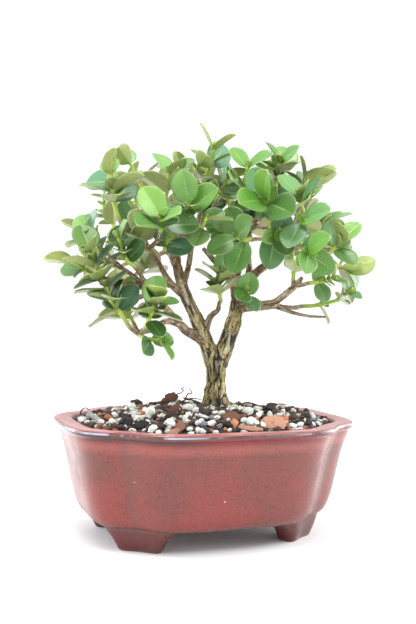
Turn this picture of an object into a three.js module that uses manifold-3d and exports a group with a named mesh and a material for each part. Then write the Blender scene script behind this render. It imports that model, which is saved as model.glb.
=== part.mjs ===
// Natal plum bonsai: a small two-limbed tree with opposite leathery leaves, in a glazed lobed pot on feet.
// Millimetres, +Z up. The tree's routes are drawn as it faces the viewer: x to the right, y away from the
// viewer and z up from the ground, counted from the middle of the pot.
import * as THREE from "three";
import Module from "manifold-3d";

const wasm = await Module();
wasm.setup();

// Pot: two crossed rounded oblongs, whose common outer edge is lobed and leaves four notches.
const POT_HALF_LENGTH = 100;
const POT_HALF_DEPTH = 80.3;
const LONG_LOBE_HALF_WIDTH = 57.2;
const CROSS_LOBE_HALF_WIDTH = 76;
const LONG_LOBE_POWER = 4.5;
const CROSS_LOBE_POWER = 4.1;
const NOTCH_SHARPNESS = 16;
const NOTCH_ANGLE = THREE.MathUtils.degToRad(36.85);
const SAMPLES_TO_NOTCH = 5;
const SAMPLES_PAST_NOTCH = 7;
const FOOT_HEIGHT = 14.4;
const POT_FLOOR = 21;

// Outside, over the lip and down the inside: inset from the rim's outline, and height.
const POT_PROFILE = [
  [21.5, FOOT_HEIGHT],
  [17.4, 17.8],
  [14.2, 25],
  [11.2, 37],
  [8.6, 52],
  [6.5, 61],
  [3.7, 69.4],
  [1.2, 73.6],
  [0, 76.4],
  [2, 78.9],
  [11.6, 78.2],
  [13.2, 73],
  [17, 32],
  [23, POT_FLOOR],
];

// Feet: a bracket round each notch, narrower where it meets the ground.
const FOOT_SECTIONS = [
  { height: 17, halfTurn: 21, outerInset: 21, innerInset: 40 },
  { height: 11, halfTurn: 18.5, outerInset: 21.8, innerInset: 40 },
  { height: 4, halfTurn: 13, outerInset: 23.2, innerInset: 38 },
  { height: 0, halfTurn: 11.6, outerInset: 24.8, innerInset: 37 },
];
const FOOT_STEPS = 4;

// Drainage: two holes in the floor, each under a square screen.
const DRAIN_X = 34;
const DRAIN_RADIUS = 7.5;
const DRAIN_FACETS = 12;
const SCREEN_SIDE = 24;
const SCREEN_THICKNESS = 1;
const SCREEN_BAR = 3;
const CLEARANCE = 0.3;

// Soil: fills the pot and is mounded towards the trunk, with its grains standing out of it.
const SOIL_EDGE_HEIGHT = 76.2;
const SOIL_MOUND = 9;
const SOIL_SIDES = [
  [23.8, POT_FLOOR + CLEARANCE],
  [17.8, 32],
  [13.9, 73],
];
const SOIL_RINGS = [1, 0.91, 0.8, 0.67, 0.52, 0.36, 0.18];
const SOIL_ROUGHNESS = 1.3;
const SOIL_MOUND_POWER = 2.2;
const GRAIN_FIELD = [84, 64];
const GRAIN_SPACING = 20;
const GRAIN_SHAKE = 5;
const GRAIN_RADIUS = [2.6, 4.6];
const GRAIN_TRUNK_GAP = 3;
const GRAIN_SKEW = [-0.3, 0.3];
const GRAIN_REACH = [0.8, 1.15];
const GRAIN_WAIST_LIFT = [-0.5, 0.8];
const GRAIN_LEAN = [-1, 1];
const GRAIN_HEIGHT = [0.75, 1];
const SOIL_SEED = 11;

// Tree: it is turned in the pot by this angle, and the trunk goes down into a plain hole.
const TREE_TURN = THREE.MathUtils.degToRad(-21.1);
const TRUNK_FOOT = [8.6, 18, 84];
const ROOT_DEPTH = 34;
const ROOT_TIP_RADIUS = 6;
const ROOT_TOP_RADIUS = 9.4;
const ROOT_HOLE_MARGIN = 1.6;
const ROOT_SIDES = 14;
const BARK_RIDGE = 0.09;
const BARK_RIDGE_RANGE = [0.2, 1];
const BARK_SEED = 301;
const MOST_SMOOTH_SIDES = 6;

// Boughs: sides, radius at each end, and the route that the middle of the wood follows.
const BOUGHS = [
  [12, 9.6, 6.8, [[8.6, 18, 83], [8, 18, 90], [8, 18, 102]]],
  [12, 6.8, 8, [[8, 18, 101], [8, 18, 112], [8, 18, 120]]],
  [8, 6.2, 2.4, [[6, 18, 115], [1, 16, 129], [-5, 12, 143], [-11, 8, 155], [-16, 4, 167], [-20, 1, 181],
    [-21, -1, 191], [-18, -5, 205]]],
  [8, 6.6, 3.8, [[10, 18, 115], [16, 20, 132], [20, 22, 145], [22, 24, 155], [22, 25, 163], [20, 25, 174]]],
  [4, 3.2, 1.6, [[19, 24, 171], [12, 14, 181], [5, 6, 188], [-3, 0, 196]]],
  [4, 2.8, 1.6, [[19, 24, 172], [15, 30, 188], [13, 34, 198], [10, 38, 212]]],
  [4, 2.6, 1.6, [[21, 24, 170], [23, 22, 182], [24, 20, 191], [26, 18, 202], [29, 16, 215]]],
  [6, 3.2, 1.8, [[22, 25, 164], [29, 30, 175], [31, 34, 184], [30, 38, 196], [28, 42, 210]]],
  [6, 3.4, 2.4, [[27, 27, 171], [35, 22, 180], [42, 16, 186], [49, 10, 191], [56, 3, 194.5]]],
  [4, 2.2, 1.4, [[53, 6, 193], [66, -2, 194], [79, -8, 195]]],
  [7, 4.2, 3.2, [[22, 25, 155], [34, 20, 157], [41, 14, 157], [49, 9, 158.5]]],
  [4, 2.6, 2.2, [[46, 11, 157.5], [55, 4, 165], [62, -1, 172]]],
  [4, 2, 1.6, [[60, 1, 170], [66, -4, 177]]],
  [4, 2.2, 1.6, [[46, 11, 157.5], [56, 12, 156], [65, 15, 156]]],
  [4, 1.8, 0.9, [[49, 11, 156.5], [67, 6, 151], [84, 2, 150]]],
  [4, 2.6, 1.7, [[-16, 3, 169], [-13, 8, 184], [-11, 14, 198], [-8, 18, 210]]],
  [7, 4, 1.9, [[2, 17, 128], [-9, 8, 136], [-14, 2, 139], [-22, -8, 148], [-31, -18, 158], [-37, -26, 166]]],
  [4, 2.8, 1.6, [[-16, 4, 163], [-23, 0, 169], [-28, -8, 176], [-33, -16, 185], [-39, -24, 193]]],
  [4, 1.8, 1, [[-23, -1, 169], [-32, -10, 170], [-41, -18, 168]]],
  [4, 2.6, 1.6, [[-1, 14.5, 134], [3, 8, 148], [8, 2, 153], [9, -2, 158]]],
  [4, 2.2, 1.5, [[-16, -1, 142], [-27, -14, 145], [-37, -26, 139], [-44, -32, 137]]],
  [4, 3, 1.8, [[20, 24, 170], [23, 44, 189], [25, 56, 206]]],
  [4, 2.6, 1.6, [[-20, 1, 180], [-28, 18, 195], [-38, 34, 209]]],
];
const TWIG_SIDES = 3;
const TWIG_RADII = [1.9, 1.5];

// Shoots: the route of the brown twig, the route of its green end, the number of leaf pairs on that end, the
// length of a full leaf, and the turn of the lowest pair about the stem in degrees.
const SHOOTS = [
  [[[-39, -24, 193], [-48, -30, 200], [-57, -34, 210]],
    [[-61, -36, 221], [-62, -38, 228], [-64, -38, 240]], 3, 26, 90],
  [[[-39, -24, 193], [-45, -20, 207], [-50, -16, 221]],
    [[-55, -16, 228], [-61, -18, 237], [-67, -20, 246]], 3, 21.5, 70],
  [[[-38, 34, 209], [-32, 10, 214], [-30, -4, 220]],
    [[-29, -8, 228], [-28, -10, 236], [-27, -12, 245]], 2, 24.5, 45],
  [[[-18, -5, 205], [-12, -22, 208], [-10, -32, 214]],
    [[-12, -36, 218], [-12, -40, 221]], 2, 27.5, 20],
  [[[-8, 18, 210], [-5, 14, 227], [-4, 10, 241]],
    [[0, 6, 252], [3, 2, 264]], 2, 26, 85],
  [[[-8, 18, 210], [-14, 0, 222], [-15, -8, 235]],
    [[-11, -10, 243], [-7, -12, 251]], 2, 22.5, 45],
  [[[-38, 34, 209], [-41, 28, 220], [-42, 24, 231]],
    [[-48.5, 22, 242], [-56, 20, 256]], 2, 25, 0],
  [[[-39, -24, 193], [-32, -42, 198], [-30, -50, 203]],
    [[-29, -54, 206], [-29, -58, 210]], 2, 27, 60],
  [[[-38, 34, 209], [-41, 20, 204], [-43, 10, 204]],
    [[-47, 4, 206], [-49, 0, 208]], 2, 25, 150],
  [[[-21, -1, 191], [-26, -16, 191], [-28, -24, 193]],
    [[-28, -28, 195], [-25, -32, 200]], 2, 19.5, 120],
  [[[-18, -5, 205], [-12, -24, 202], [-9, -34, 202]],
    [[-4, -40, 206.5], [-1, -46, 212]], 2, 21.5, 105],
  [[[-8, 18, 210], [1, 22, 222], [6, 24, 232]],
    [[9, 22, 238], [13, 20, 247]], 3, 28, 85],
  [[[10, 38, 212], [20, 10, 220], [21, -4, 229]],
    [[23, -8, 236], [26, -12, 250]], 2, 25, 75],
  [[[29, 16, 215], [42, 14, 228], [46, 8, 238]],
    [[48, 4, 246], [49, 0, 255]], 3, 25, 0],
  [[[29, 16, 215], [39, -18, 219], [41, -28, 223]],
    [[40, -32, 224], [37, -38, 225]], 2, 31, 160],
  [[[55, 4, 194], [62, 0, 220], [66, 0, 233]],
    [[66, 0, 238], [67, 0, 243]], 2, 28.5, 90],
  [[[55, 4, 194], [60, -20, 210], [63, -26, 220]],
    [[62, -28, 223], [61, -30, 229]], 2, 26, 70],
  [[[55, 4, 194], [58, -30, 203], [62, -38, 211]],
    [[60, -42, 210], [60, -46, 211]], 1, 27, 65],
  [[[29, 16, 215], [37, -14, 210], [41, -26, 209]],
    [[44, -32, 205.5], [45, -38, 204]], 2, 25, 30],
  [[[55, 4, 194], [58, -24, 197], [60, -42, 197]],
    [[61.5, -50, 193.5], [63, -60, 192]], 2, 24, 115],
  [[[79, -8, 195], [84, -10, 196]],
    [[86, -12, 196], [90, -14, 201]], 2, 22.5, 175],
  [[[66, -2, 194], [81, 12, 191], [91, 20, 189]],
    [[94, 22, 186], [99, 24, 185]], 2, 27, 150],
  [[[61, 0, 171], [60, -1, 175]],
    [[60, -2, 180], [59, -4, 189]], 2, 20.5, 90],
  [[[61, 0, 171], [66, -6, 172], [70, -10, 173]],
    [[76, -14, 174], [84, -18, 176]], 3, 16, 15],
  [[[9, -2, 158], [10, -3, 160]],
    [[9, -4, 166.5], [8, -6, 178]], 3, 23.5, 60],
  [[[22, 25, 163], [25, 12, 162], [26, 4, 162]],
    [[27, 0, 163], [28, -6, 166]], 2, 19.5, 165],
  [[[64, 15, 156], [68, 15, 157]],
    [[78, 12, 158], [92, 6, 162], [98, 2, 167]], 3, 15, 165],
  [[[79, -8, 195], [79, -2, 200], [80, 2, 206]],
    [[79, 4, 210], [78, 6, 214]], 3, 20, 55],
  [[[28, 42, 210], [32, 20, 217], [30, 4, 222]],
    [[30, -2, 224], [30, -8, 225]], 2, 26, 90],
  [[[29, 16, 215], [29, -6, 205], [29, -20, 202]],
    [[25, -28, 200], [20, -36, 201]], 2, 26, 165],
  [[[10, 38, 212], [12, 14, 206], [13, 0, 203]],
    [[13, -8, 204], [14, -16, 208]], 2, 24, 80],
  [[[-44, -32, 137], [-49, -38, 141]],
    [[-55, -40, 150], [-61, -44, 159], [-65, -46, 168], [-70, -48, 177], [-74, -50, 189]], 6, 24.5, 15],
  [[[-37, -26, 166], [-54, -30, 179], [-65, -34, 184]],
    [[-69.5, -36, 190], [-71, -38, 194], [-74.5, -38, 198], [-79, -38, 204]], 4, 19, 0],
  [[[-37, -26, 166], [-56, -30, 171], [-70, -34, 174]],
    [[-77.5, -38, 177.5], [-87, -42, 183]], 2, 24.5, 120],
  [[[-37, -26, 166], [-42, -34, 174], [-46, -42, 180]],
    [[-52, -48, 186], [-56, -52, 197]], 3, 19.5, 150],
  [[[-44, -32, 137], [-39, -46, 141]],
    [[-36, -52, 147], [-33, -56, 154], [-30, -60, 160]], 4, 22.5, 130],
  [[[-44, -32, 137], [-42, -40, 136]],
    [[-36, -46, 134], [-29, -54, 134]], 2, 18.5, 120],
  [[[-39, -24, 193], [-44, -30, 191], [-47, -32, 192]],
    [[-47.5, -34, 196], [-45, -36, 202]], 2, 23.5, 120],
  [[[-37, -26, 166], [-45, -12, 161], [-51, -6, 159]],
    [[-52, -2, 157.5], [-55, 0, 161]], 2, 21, 60],
  [[[-44, -32, 137], [-48, -22, 143]],
    [[-51, -18, 148], [-52, -20, 155]], 3, 24.5, 40],
  [[[-37, -26, 166], [-41, -10, 170], [-45, -2, 175]],
    [[-45.5, 0, 178.5], [-43, 2, 185]], 3, 25.5, 30],
  [[[-57, -31, 180.5], [-70, -20, 192], [-75, -14, 198]],
    [[-79.5, -12, 200], [-86, -10, 206]], 2, 21, 160],
  [[[-28, 18, 195], [-49, 34, 187], [-60, 44, 186]],
    [[-67, 48, 183.5], [-75, 52, 185.5], [-83, 54, 189]], 3, 26, 155],
  [[[-38, 34, 209], [-57, 50, 210], [-68, 58, 212]],
    [[-71, 60, 215], [-76, 62, 221], [-80, 62, 230]], 3, 20.5, 130],
  [[[-38, 34, 209], [-47, 52, 219], [-54, 62, 229]],
    [[-56, 66, 237], [-60, 68, 248]], 3, 25, 150],
  [[[-38, 34, 209], [-32, 50, 223], [-28, 58, 236]],
    [[-24, 60, 246], [-22, 60, 259]], 3, 25, 70],
  [[[-8, 18, 210], [-10, 44, 218], [-12, 58, 227]],
    [[-10.5, 64, 238], [-8, 68, 251]], 3, 25, 165],
  [[[10, 38, 212], [6, 60, 220], [5, 72, 229]],
    [[4, 78, 237], [3, 82, 250]], 3, 25, 30],
  [[[25, 56, 206], [18, 66, 221], [17, 70, 232]],
    [[14.5, 70, 239], [13, 68, 251]], 3, 25, 30],
  [[[25, 56, 206], [37, 66, 218], [43, 70, 229]],
    [[46, 70, 239.5], [47, 68, 254]], 3, 25, 120],
  [[[28, 42, 210], [40, 46, 225], [47, 46, 236]],
    [[49, 46, 243], [51, 44, 253]], 3, 20.5, 45],
  [[[25, 56, 206], [52, 66, 210], [65, 66, 218]],
    [[70, 66, 223], [74, 64, 231], [77, 62, 239]], 3, 19.5, 165],
  [[[55, 4, 194], [72, 30, 202], [82, 44, 209]],
    [[87, 50, 212.5], [91, 54, 217.5], [94, 56, 223]], 3, 19.5, 165],
  [[[66, -2, 194], [80, 26, 196], [89, 36, 199]],
    [[92, 42, 204], [97, 48, 212]], 3, 23, 115],
  [[[25, 56, 206], [28, 80, 211], [30, 90, 217]],
    [[32, 96, 220], [35, 100, 230]], 3, 27.5, 165],
];
const STEM_SIDES = 4;
const PAIRED_SHARE = 0.92;
const STEM_RADII = [1.45, 1.05];
const BUD_LENGTH = 3.2;
const BUD_TAPER = 0.3;

// Leaf: half of its outline as shares of the length and of the half width, its thickness, and how far each
// pair opens from the stem, counted from the youngest pair down.
const LEAF_OUTLINE = [
  [0.22, 0.74],
  [0.55, 1],
  [0.85, 0.7],
];
const LEAF_THICKNESS = 0.7;
const NODE_HEIGHT = 1;
const LEAF_OPENING = [45, 60, 68, 72];
const LEAF_SIZE = [0.86, 1, 1, 0.92];
const LIGHT = new THREE.Vector3(0, -0.45, 0.9);

// How leaves differ: the least and the most of each of their measures, with angles in degrees.
const TURN_RANGE = [-14, 14];
const OPENING_RANGE = [-10, 10];
const LENGTH_RANGE = [0.88, 1.1];
const RATIO_RANGE = [0.66, 0.84];
const FOLD_RANGE = [0.12, 0.34];
const LIFT_RANGE = [0.1, 0.7];
const ROLL_RANGE = [-38, 38];
const LEAF_SEED = 1000;
const LEAF_SEED_STEP = 37;

// Triangles over a blade's outline, which starts and ends at the stem and has the tip in its middle.
const BLADE_FACES = [
  [0, 1, 2],
  [0, 2, 4],
  [2, 3, 4],
  [0, 4, 8],
  [8, 4, 6],
  [4, 5, 6],
  [8, 6, 7],
];

// A blade's test points, as shares of its length and half width, and the distance that each keeps: from
// another shoot's blades and stems, from its own shoot's blades, round a stem, and more from the wood.
const BLADE_STATIONS = [
  [0.3, 0.82],
  [0.5, 0.97],
  [0.66, 0.9],
  [0.86, 0.66],
];
const BLADE_ACROSS = [-0.92, -0.46, 0, 0.46, 0.92];
const BLADE_REACH = 2.1;
const OWN_BLADE_REACH = 3.1;
const STEM_REACH = 2;
const WOOD_MARGIN = 0.5;
const TESTS_ON_SPAN = 7;
const TESTS_ON_STEM = 15;

// A crowded leaf turns about its stem or opens by these degrees, or stays smaller, until it has room.
const LEAF_TRIES = [
  [0, 0, 1],
  [25, 0, 1],
  [-25, 0, 1],
  [0, 22, 1],
  [0, -22, 1],
  [45, 0, 1],
  [-45, 0, 1],
  [25, 22, 1],
  [-25, 22, 1],
  [25, -22, 1],
  [-25, -22, 1],
  [0, 0, 0.8],
  [30, 0, 0.8],
  [-30, 0, 0.8],
  [0, 30, 0.8],
  [0, -30, 0.8],
  [60, 0, 0.8],
  [-60, 0, 0.8],
];

const UP = new THREE.Vector3(0, 0, 1);
const AWAY = new THREE.Vector3(0, 1, 0);
const radians = THREE.MathUtils.degToRad;
const vector = (point) => new THREE.Vector3(...point);

// Numbers drawn one after another from a seed, so that every build is the same.
function drawFrom(seed) {
  let state = seed;
  return (low, high) => {
    state = (state * 16807) % 2147483647;
    return low + ((high - low) * state) / 2147483647;
  };
}

// A solid from its corner points and its triangles.
function solidOf(points, faces) {
  const mesh = new wasm.Mesh({
    numProp: 3,
    vertProperties: Float32Array.from(points.flatMap((point) => point.toArray())),
    triVerts: Uint32Array.from(faces.flat()),
  });
  return new wasm.Manifold(mesh);
}

// Triangles that fill a ring of points by stepping across it from both of its ends.
function ringFill(count) {
  const faces = [];
  let low = 0;
  let high = count - 1;
  while (high - low > 1) {
    faces.push([low, low + 1, high]);
    low += 1;
    if (high - low > 1) {
      faces.push([low, high - 1, high]);
      high -= 1;
    }
  }
  return faces;
}

// A solid through rings of equally many points, each counter-clockwise seen from the last ring's outside.
function loft(rings) {
  const count = rings[0].length;
  const last = (rings.length - 1) * count;
  const faces = [];
  for (const [a, b, c] of ringFill(count)) {
    faces.push([c, b, a]);
    faces.push([last + a, last + b, last + c]);
  }
  for (let ring = 0; ring < last; ring += count) {
    for (let i = 0; i < count; i += 1) {
      const next = (i + 1) % count;
      faces.push([ring + i, ring + next, ring + count + next]);
      faces.push([ring + i, ring + count + next, ring + count + i]);
    }
  }
  return solidOf(rings.flat(), faces);
}

const join = (solids) => wasm.Manifold.union(solids);

// A named mesh from a finished solid.
function piece(name, solid, color, roughness) {
  const mesh = solid.getMesh();
  const geometry = new THREE.BufferGeometry();
  geometry.setAttribute("position", new THREE.BufferAttribute(mesh.vertProperties, 3));
  geometry.setIndex(new THREE.BufferAttribute(mesh.triVerts, 1));
  geometry.computeVertexNormals();
  const material = new THREE.MeshStandardMaterial({ color, roughness, metalness: 0 });
  const made = new THREE.Mesh(geometry, material);
  made.name = name;
  return made;
}

// A level ring of points round an upright axis.
function circle(x, y, z, radius, sides) {
  return Array.from({ length: sides }, (_, i) => {
    const angle = (2 * Math.PI * i) / sides;
    return new THREE.Vector3(x + radius * Math.cos(angle), y + radius * Math.sin(angle), z);
  });
}

// Distance from the middle to the rim's outline: the larger of the two oblongs, blended where they cross.
function rimRadius(angle) {
  const c = Math.abs(Math.cos(angle));
  const s = Math.abs(Math.sin(angle));
  const oblong = (halfLength, halfWidth, power) =>
    ((c / halfLength) ** power + (s / halfWidth) ** power) ** (-1 / power);
  const long = oblong(POT_HALF_LENGTH, LONG_LOBE_HALF_WIDTH, LONG_LOBE_POWER);
  const cross = oblong(CROSS_LOBE_HALF_WIDTH, POT_HALF_DEPTH, CROSS_LOBE_POWER);
  return (long ** NOTCH_SHARPNESS + cross ** NOTCH_SHARPNESS) ** (1 / NOTCH_SHARPNESS);
}

// A point of the pot's outline, set in from the rim, at a height.
function outlinePoint(angle, inset, z, share = 1) {
  const radius = rimRadius(angle) * share;
  const x = (radius * Math.cos(angle) * (POT_HALF_LENGTH - inset)) / POT_HALF_LENGTH;
  const y = (radius * Math.sin(angle) * (POT_HALF_DEPTH - inset)) / POT_HALF_DEPTH;
  return new THREE.Vector3(x, y, z);
}

// Angles all round the pot that fall on the four notches.
function outlineAngles() {
  const quarter = [];
  for (let i = 0; i < SAMPLES_TO_NOTCH; i += 1) {
    quarter.push((NOTCH_ANGLE * i) / SAMPLES_TO_NOTCH);
  }
  for (let i = 0; i < SAMPLES_PAST_NOTCH; i += 1) {
    quarter.push(NOTCH_ANGLE + ((Math.PI / 2 - NOTCH_ANGLE) * i) / SAMPLES_PAST_NOTCH);
  }
  const mirrored = quarter.slice(1).reverse().map((angle) => Math.PI - angle);
  const half = [...quarter, Math.PI / 2, ...mirrored];
  return [...half, ...half.map((angle) => angle + Math.PI)];
}

const OUTLINE_ANGLES = outlineAngles();
const outlineRing = (inset, z, share) =>
  OUTLINE_ANGLES.map((angle) => outlinePoint(angle, inset, z, share));

// One foot: a band that follows the outline round the notch at this angle.
function foot(middle) {
  const rings = [...FOOT_SECTIONS].reverse().map((section) => {
    const turns = Array.from({ length: FOOT_STEPS + 1 }, (_, i) => {
      return middle + radians(section.halfTurn) * ((2 * i) / FOOT_STEPS - 1);
    });
    const outer = turns.map((angle) => outlinePoint(angle, section.outerInset, section.height));
    const inner = turns.map((angle) => outlinePoint(angle, section.innerInset, section.height));
    return [...outer, ...inner.reverse()];
  });
  return loft(rings);
}

function pot() {
  const shell = loft(POT_PROFILE.map(([inset, z]) => outlineRing(inset, z)));
  const feet = [NOTCH_ANGLE, Math.PI - NOTCH_ANGLE, Math.PI + NOTCH_ANGLE, -NOTCH_ANGLE].map(foot);
  const bores = [-DRAIN_X, DRAIN_X].map((x) => {
    const ends = [FOOT_HEIGHT - 1, POT_FLOOR + 1];
    return loft(ends.map((z) => circle(x, 0, z, DRAIN_RADIUS, DRAIN_FACETS)));
  });
  return join([shell, ...feet]).subtract(join(bores));
}

// A level square slab between two heights.
function slab(x, side, low, high) {
  const half = side / 2;
  const corners = [
    [half, half],
    [-half, half],
    [-half, -half],
    [half, -half],
  ];
  return loft([low, high].map((z) => corners.map(([dx, dy]) => new THREE.Vector3(x + dx, dy, z))));
}

// A screen: a thin square with four square meshes between its bars.
function screen(x) {
  const low = POT_FLOOR + CLEARANCE;
  const high = low + SCREEN_THICKNESS;
  const mesh = (SCREEN_SIDE - 3 * SCREEN_BAR) / 2;
  const offset = (mesh + SCREEN_BAR) / 2;
  const openings = [
    [-1, -1],
    [1, -1],
    [1, 1],
    [-1, 1],
  ].map(([across, along]) => {
    const opening = slab(x + across * offset, mesh, low - 1, high + 1);
    return opening.translate([0, along * offset, 0]);
  });
  return slab(x, SCREEN_SIDE, low, high).subtract(join(openings));
}

// Height of the soil at a share of the way from the middle to the pot's wall.
const soilHeight = (share) => SOIL_EDGE_HEIGHT + SOIL_MOUND * (1 - share ** SOIL_MOUND_POWER);

// A soil grain: an uneven eight-sided lump that is sunk to its middle.
function grain(x, y, z, radius, draw) {
  const turn = draw(0, Math.PI);
  const waist = Array.from({ length: 4 }, (_, i) => {
    const angle = turn + (Math.PI * i) / 2 + draw(...GRAIN_SKEW);
    const reach = radius * draw(...GRAIN_REACH);
    const corner = vector([reach * Math.cos(angle), reach * Math.sin(angle), draw(...GRAIN_WAIST_LIFT)]);
    return corner.add(vector([x, y, z]));
  });
  const top = vector([x + draw(...GRAIN_LEAN), y + draw(...GRAIN_LEAN), z + radius * draw(...GRAIN_HEIGHT)]);
  const bottom = new THREE.Vector3(x, y, z - radius);
  const faces = [0, 1, 2, 3].flatMap((i) => {
    const next = (i + 1) % 4;
    return [
      [i, next, 4],
      [next, i, 5],
    ];
  });
  return solidOf([...waist, top, bottom], faces);
}

// Where the trunk's foot comes down, in the pot's own directions.
const trunkFoot = vector(TRUNK_FOOT).applyAxisAngle(UP, TREE_TURN);

function soil() {
  const draw = drawFrom(SOIL_SEED);
  const innerInset = SOIL_SIDES[SOIL_SIDES.length - 1][0];
  const sides = SOIL_SIDES.map(([inset, z]) => outlineRing(inset, z));
  const top = SOIL_RINGS.map((share) => {
    const ring = outlineRing(innerInset, soilHeight(share), share);
    const lift = share < 1 ? SOIL_ROUGHNESS : 0;
    return ring.map((point) => point.setZ(point.z + draw(-lift, lift)));
  });
  const grains = [];
  for (let x = -GRAIN_FIELD[0]; x <= GRAIN_FIELD[0]; x += GRAIN_SPACING) {
    for (let y = -GRAIN_FIELD[1]; y <= GRAIN_FIELD[1]; y += GRAIN_SPACING) {
      const radius = draw(...GRAIN_RADIUS);
      const spot = new THREE.Vector2(
        x + draw(-GRAIN_SHAKE, GRAIN_SHAKE),
        y + draw(-GRAIN_SHAKE, GRAIN_SHAKE),
      );
      const edge = outlinePoint(spot.angle(), innerInset + radius + 1, 0);
      const share = spot.length() / Math.hypot(edge.x, edge.y);
      const toTrunk = Math.hypot(spot.x - trunkFoot.x, spot.y - trunkFoot.y);
      if (share < 1 && toTrunk > ROOT_TOP_RADIUS + radius + GRAIN_TRUNK_GAP) {
        grains.push(grain(spot.x, spot.y, soilHeight(share), radius, draw));
      }
    }
  }
  const { x, y, z } = trunkFoot;
  const hole = loft([
    circle(x, y, z - ROOT_DEPTH - CLEARANCE, ROOT_TIP_RADIUS + 2 * CLEARANCE, ROOT_SIDES),
    circle(x, y, z, ROOT_TOP_RADIUS + ROOT_HOLE_MARGIN, ROOT_SIDES),
    circle(x, y, z + SOIL_MOUND, ROOT_TOP_RADIUS + ROOT_HOLE_MARGIN, ROOT_SIDES),
  ]);
  const recessTop = POT_FLOOR + 2 * CLEARANCE + SCREEN_THICKNESS;
  const recesses = [-DRAIN_X, DRAIN_X].map((x) => slab(x, SCREEN_SIDE + 2 * CLEARANCE, POT_FLOOR, recessTop));
  return join([loft([...sides, ...top]), ...grains]).subtract(join([hole, ...recesses]));
}

// The smooth curve through a route's points.
const curveOf = (points) => new THREE.CatmullRomCurve3(points.map(vector), false, "catmullrom", 0.5);

// Axes at these stations of a curve, each turned as little as it can be from the one before.
function axesAlong(curve, stations) {
  let across = null;
  return stations.map((station) => {
    const along = curve.getTangent(station);
    across = across === null ? AWAY.clone().cross(along) : across.clone();
    across.addScaledVector(along, -across.dot(along)).normalize();
    return { middle: curve.getPoint(station), along, across, other: along.clone().cross(across) };
  });
}

// A ring of corner points round a curve's axes, from a first angle on.
function ringRound({ middle, across, other }, radii, firstAngle = 0) {
  return radii.map((radius, i) => {
    const angle = firstAngle + (2 * Math.PI * i) / radii.length;
    return middle
      .clone()
      .addScaledVector(across, radius * Math.cos(angle))
      .addScaledVector(other, radius * Math.sin(angle));
  });
}

const evenStations = (count) => Array.from({ length: count }, (_, i) => i / (count - 1));
const blend = (from, to, share) => from + (to - from) * share;

// A bough, with its bark's ridges running along it.
function bough([sides, startRadius, endRadius, route], index) {
  const draw = drawFrom(BARK_SEED + index);
  const stations = evenStations(route.length);
  const ridge = sides > MOST_SMOOTH_SIDES ? BARK_RIDGE : 0;
  const ridges = Array.from({ length: sides }, (_, i) => {
    const way = i % 2 ? -1 : 1;
    return 1 + ridge * way * draw(...BARK_RIDGE_RANGE);
  });
  const axes = axesAlong(curveOf(route), stations);
  return loft(
    axes.map((at, i) => {
      const radius = blend(startRadius, endRadius, stations[i]);
      return ringRound(at, ridges.map((share) => radius * share));
    }),
  );
}

// The whole route of a shoot, and the station where its brown twig ends and its green end starts.
function shootRoute([twig, green]) {
  const curve = curveOf([...twig, ...green]);
  const split = (twig.length - 1) / (twig.length + green.length - 1);
  return { curve, split };
}

// How far along its curve's stations the gap between the brown twig and the green end reaches.
const gapShare = (curve) => CLEARANCE / 2 / curve.getLength();

// A brown twig, from the middle of its bough to where the shoot turns green.
function twig(shoot) {
  const { curve, split } = shootRoute(shoot);
  const stations = evenStations(shoot[0].length).map((station) => station * split);
  stations[stations.length - 1] -= gapShare(curve);
  const axes = axesAlong(curve, stations);
  return loft(
    axes.map((at, i) => ringRound(at, Array(TWIG_SIDES).fill(blend(...TWIG_RADII, stations[i] / split)))),
  );
}

function trunk() {
  const [x, y, z] = TRUNK_FOOT;
  const root = loft([
    circle(x, y, z - ROOT_DEPTH, ROOT_TIP_RADIUS, ROOT_SIDES),
    circle(x, y, z, ROOT_TOP_RADIUS, ROOT_SIDES),
  ]);
  return join([root, ...BOUGHS.map(bough), ...SHOOTS.map(twig)]);
}

// The stations of a shoot's leaf pairs, the lowest first and the last at its tip.
function pairStations(shoot) {
  const { split } = shootRoute(shoot);
  const pairs = shoot[2];
  return Array.from({ length: pairs }, (_, i) => {
    const share = 1 - ((pairs - 1 - i) * PAIRED_SHARE) / pairs;
    return split + (1 - split) * share;
  });
}

// Axes at the start of a shoot's green end and at each of its leaf pairs.
function shootAxes(shoot) {
  const { curve, split } = shootRoute(shoot);
  return axesAlong(curve, [split + gapShare(curve), ...pairStations(shoot)]);
}

// Where a leaf lies: its base, its direction ahead and aside, and its upper face's direction.
function leafPlace({ at, turn, opening, length, ratio, fold, lift, roll, side, pair }) {
  const out = at.across.clone().multiplyScalar(Math.cos(turn)).addScaledVector(at.other, Math.sin(turn));
  const ahead = at.along.clone().multiplyScalar(Math.cos(opening));
  ahead.addScaledVector(out, side * Math.sin(opening)).normalize();
  const face = at.along.clone().addScaledVector(ahead, -at.along.dot(ahead)).normalize();
  face.addScaledVector(LIGHT, lift);
  face.addScaledVector(ahead, -face.dot(ahead)).normalize();
  const flat = face.clone().cross(ahead);
  face.multiplyScalar(Math.cos(roll)).addScaledVector(flat, Math.sin(roll)).normalize();
  const aside = face.clone().cross(ahead);
  return { base: at.middle, ahead, aside, face, length, halfWidth: (length * ratio) / 2, fold, side, pair };
}

// A point of a blade, whose halves rise from the midrib by its fold.
function bladePoint(leaf, share, across) {
  return leaf.base
    .clone()
    .addScaledVector(leaf.ahead, share * leaf.length)
    .addScaledVector(leaf.aside, across * leaf.halfWidth)
    .addScaledVector(leaf.face, Math.abs(across) * leaf.halfWidth * leaf.fold);
}

// Points all over a blade, to test it against what grows round it.
function bladeTestPoints(leaf) {
  const points = [bladePoint(leaf, 1, 0)];
  for (const [share, width] of BLADE_STATIONS) {
    for (const across of BLADE_ACROSS) {
      points.push(bladePoint(leaf, share, across * width));
    }
  }
  return points;
}

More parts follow.
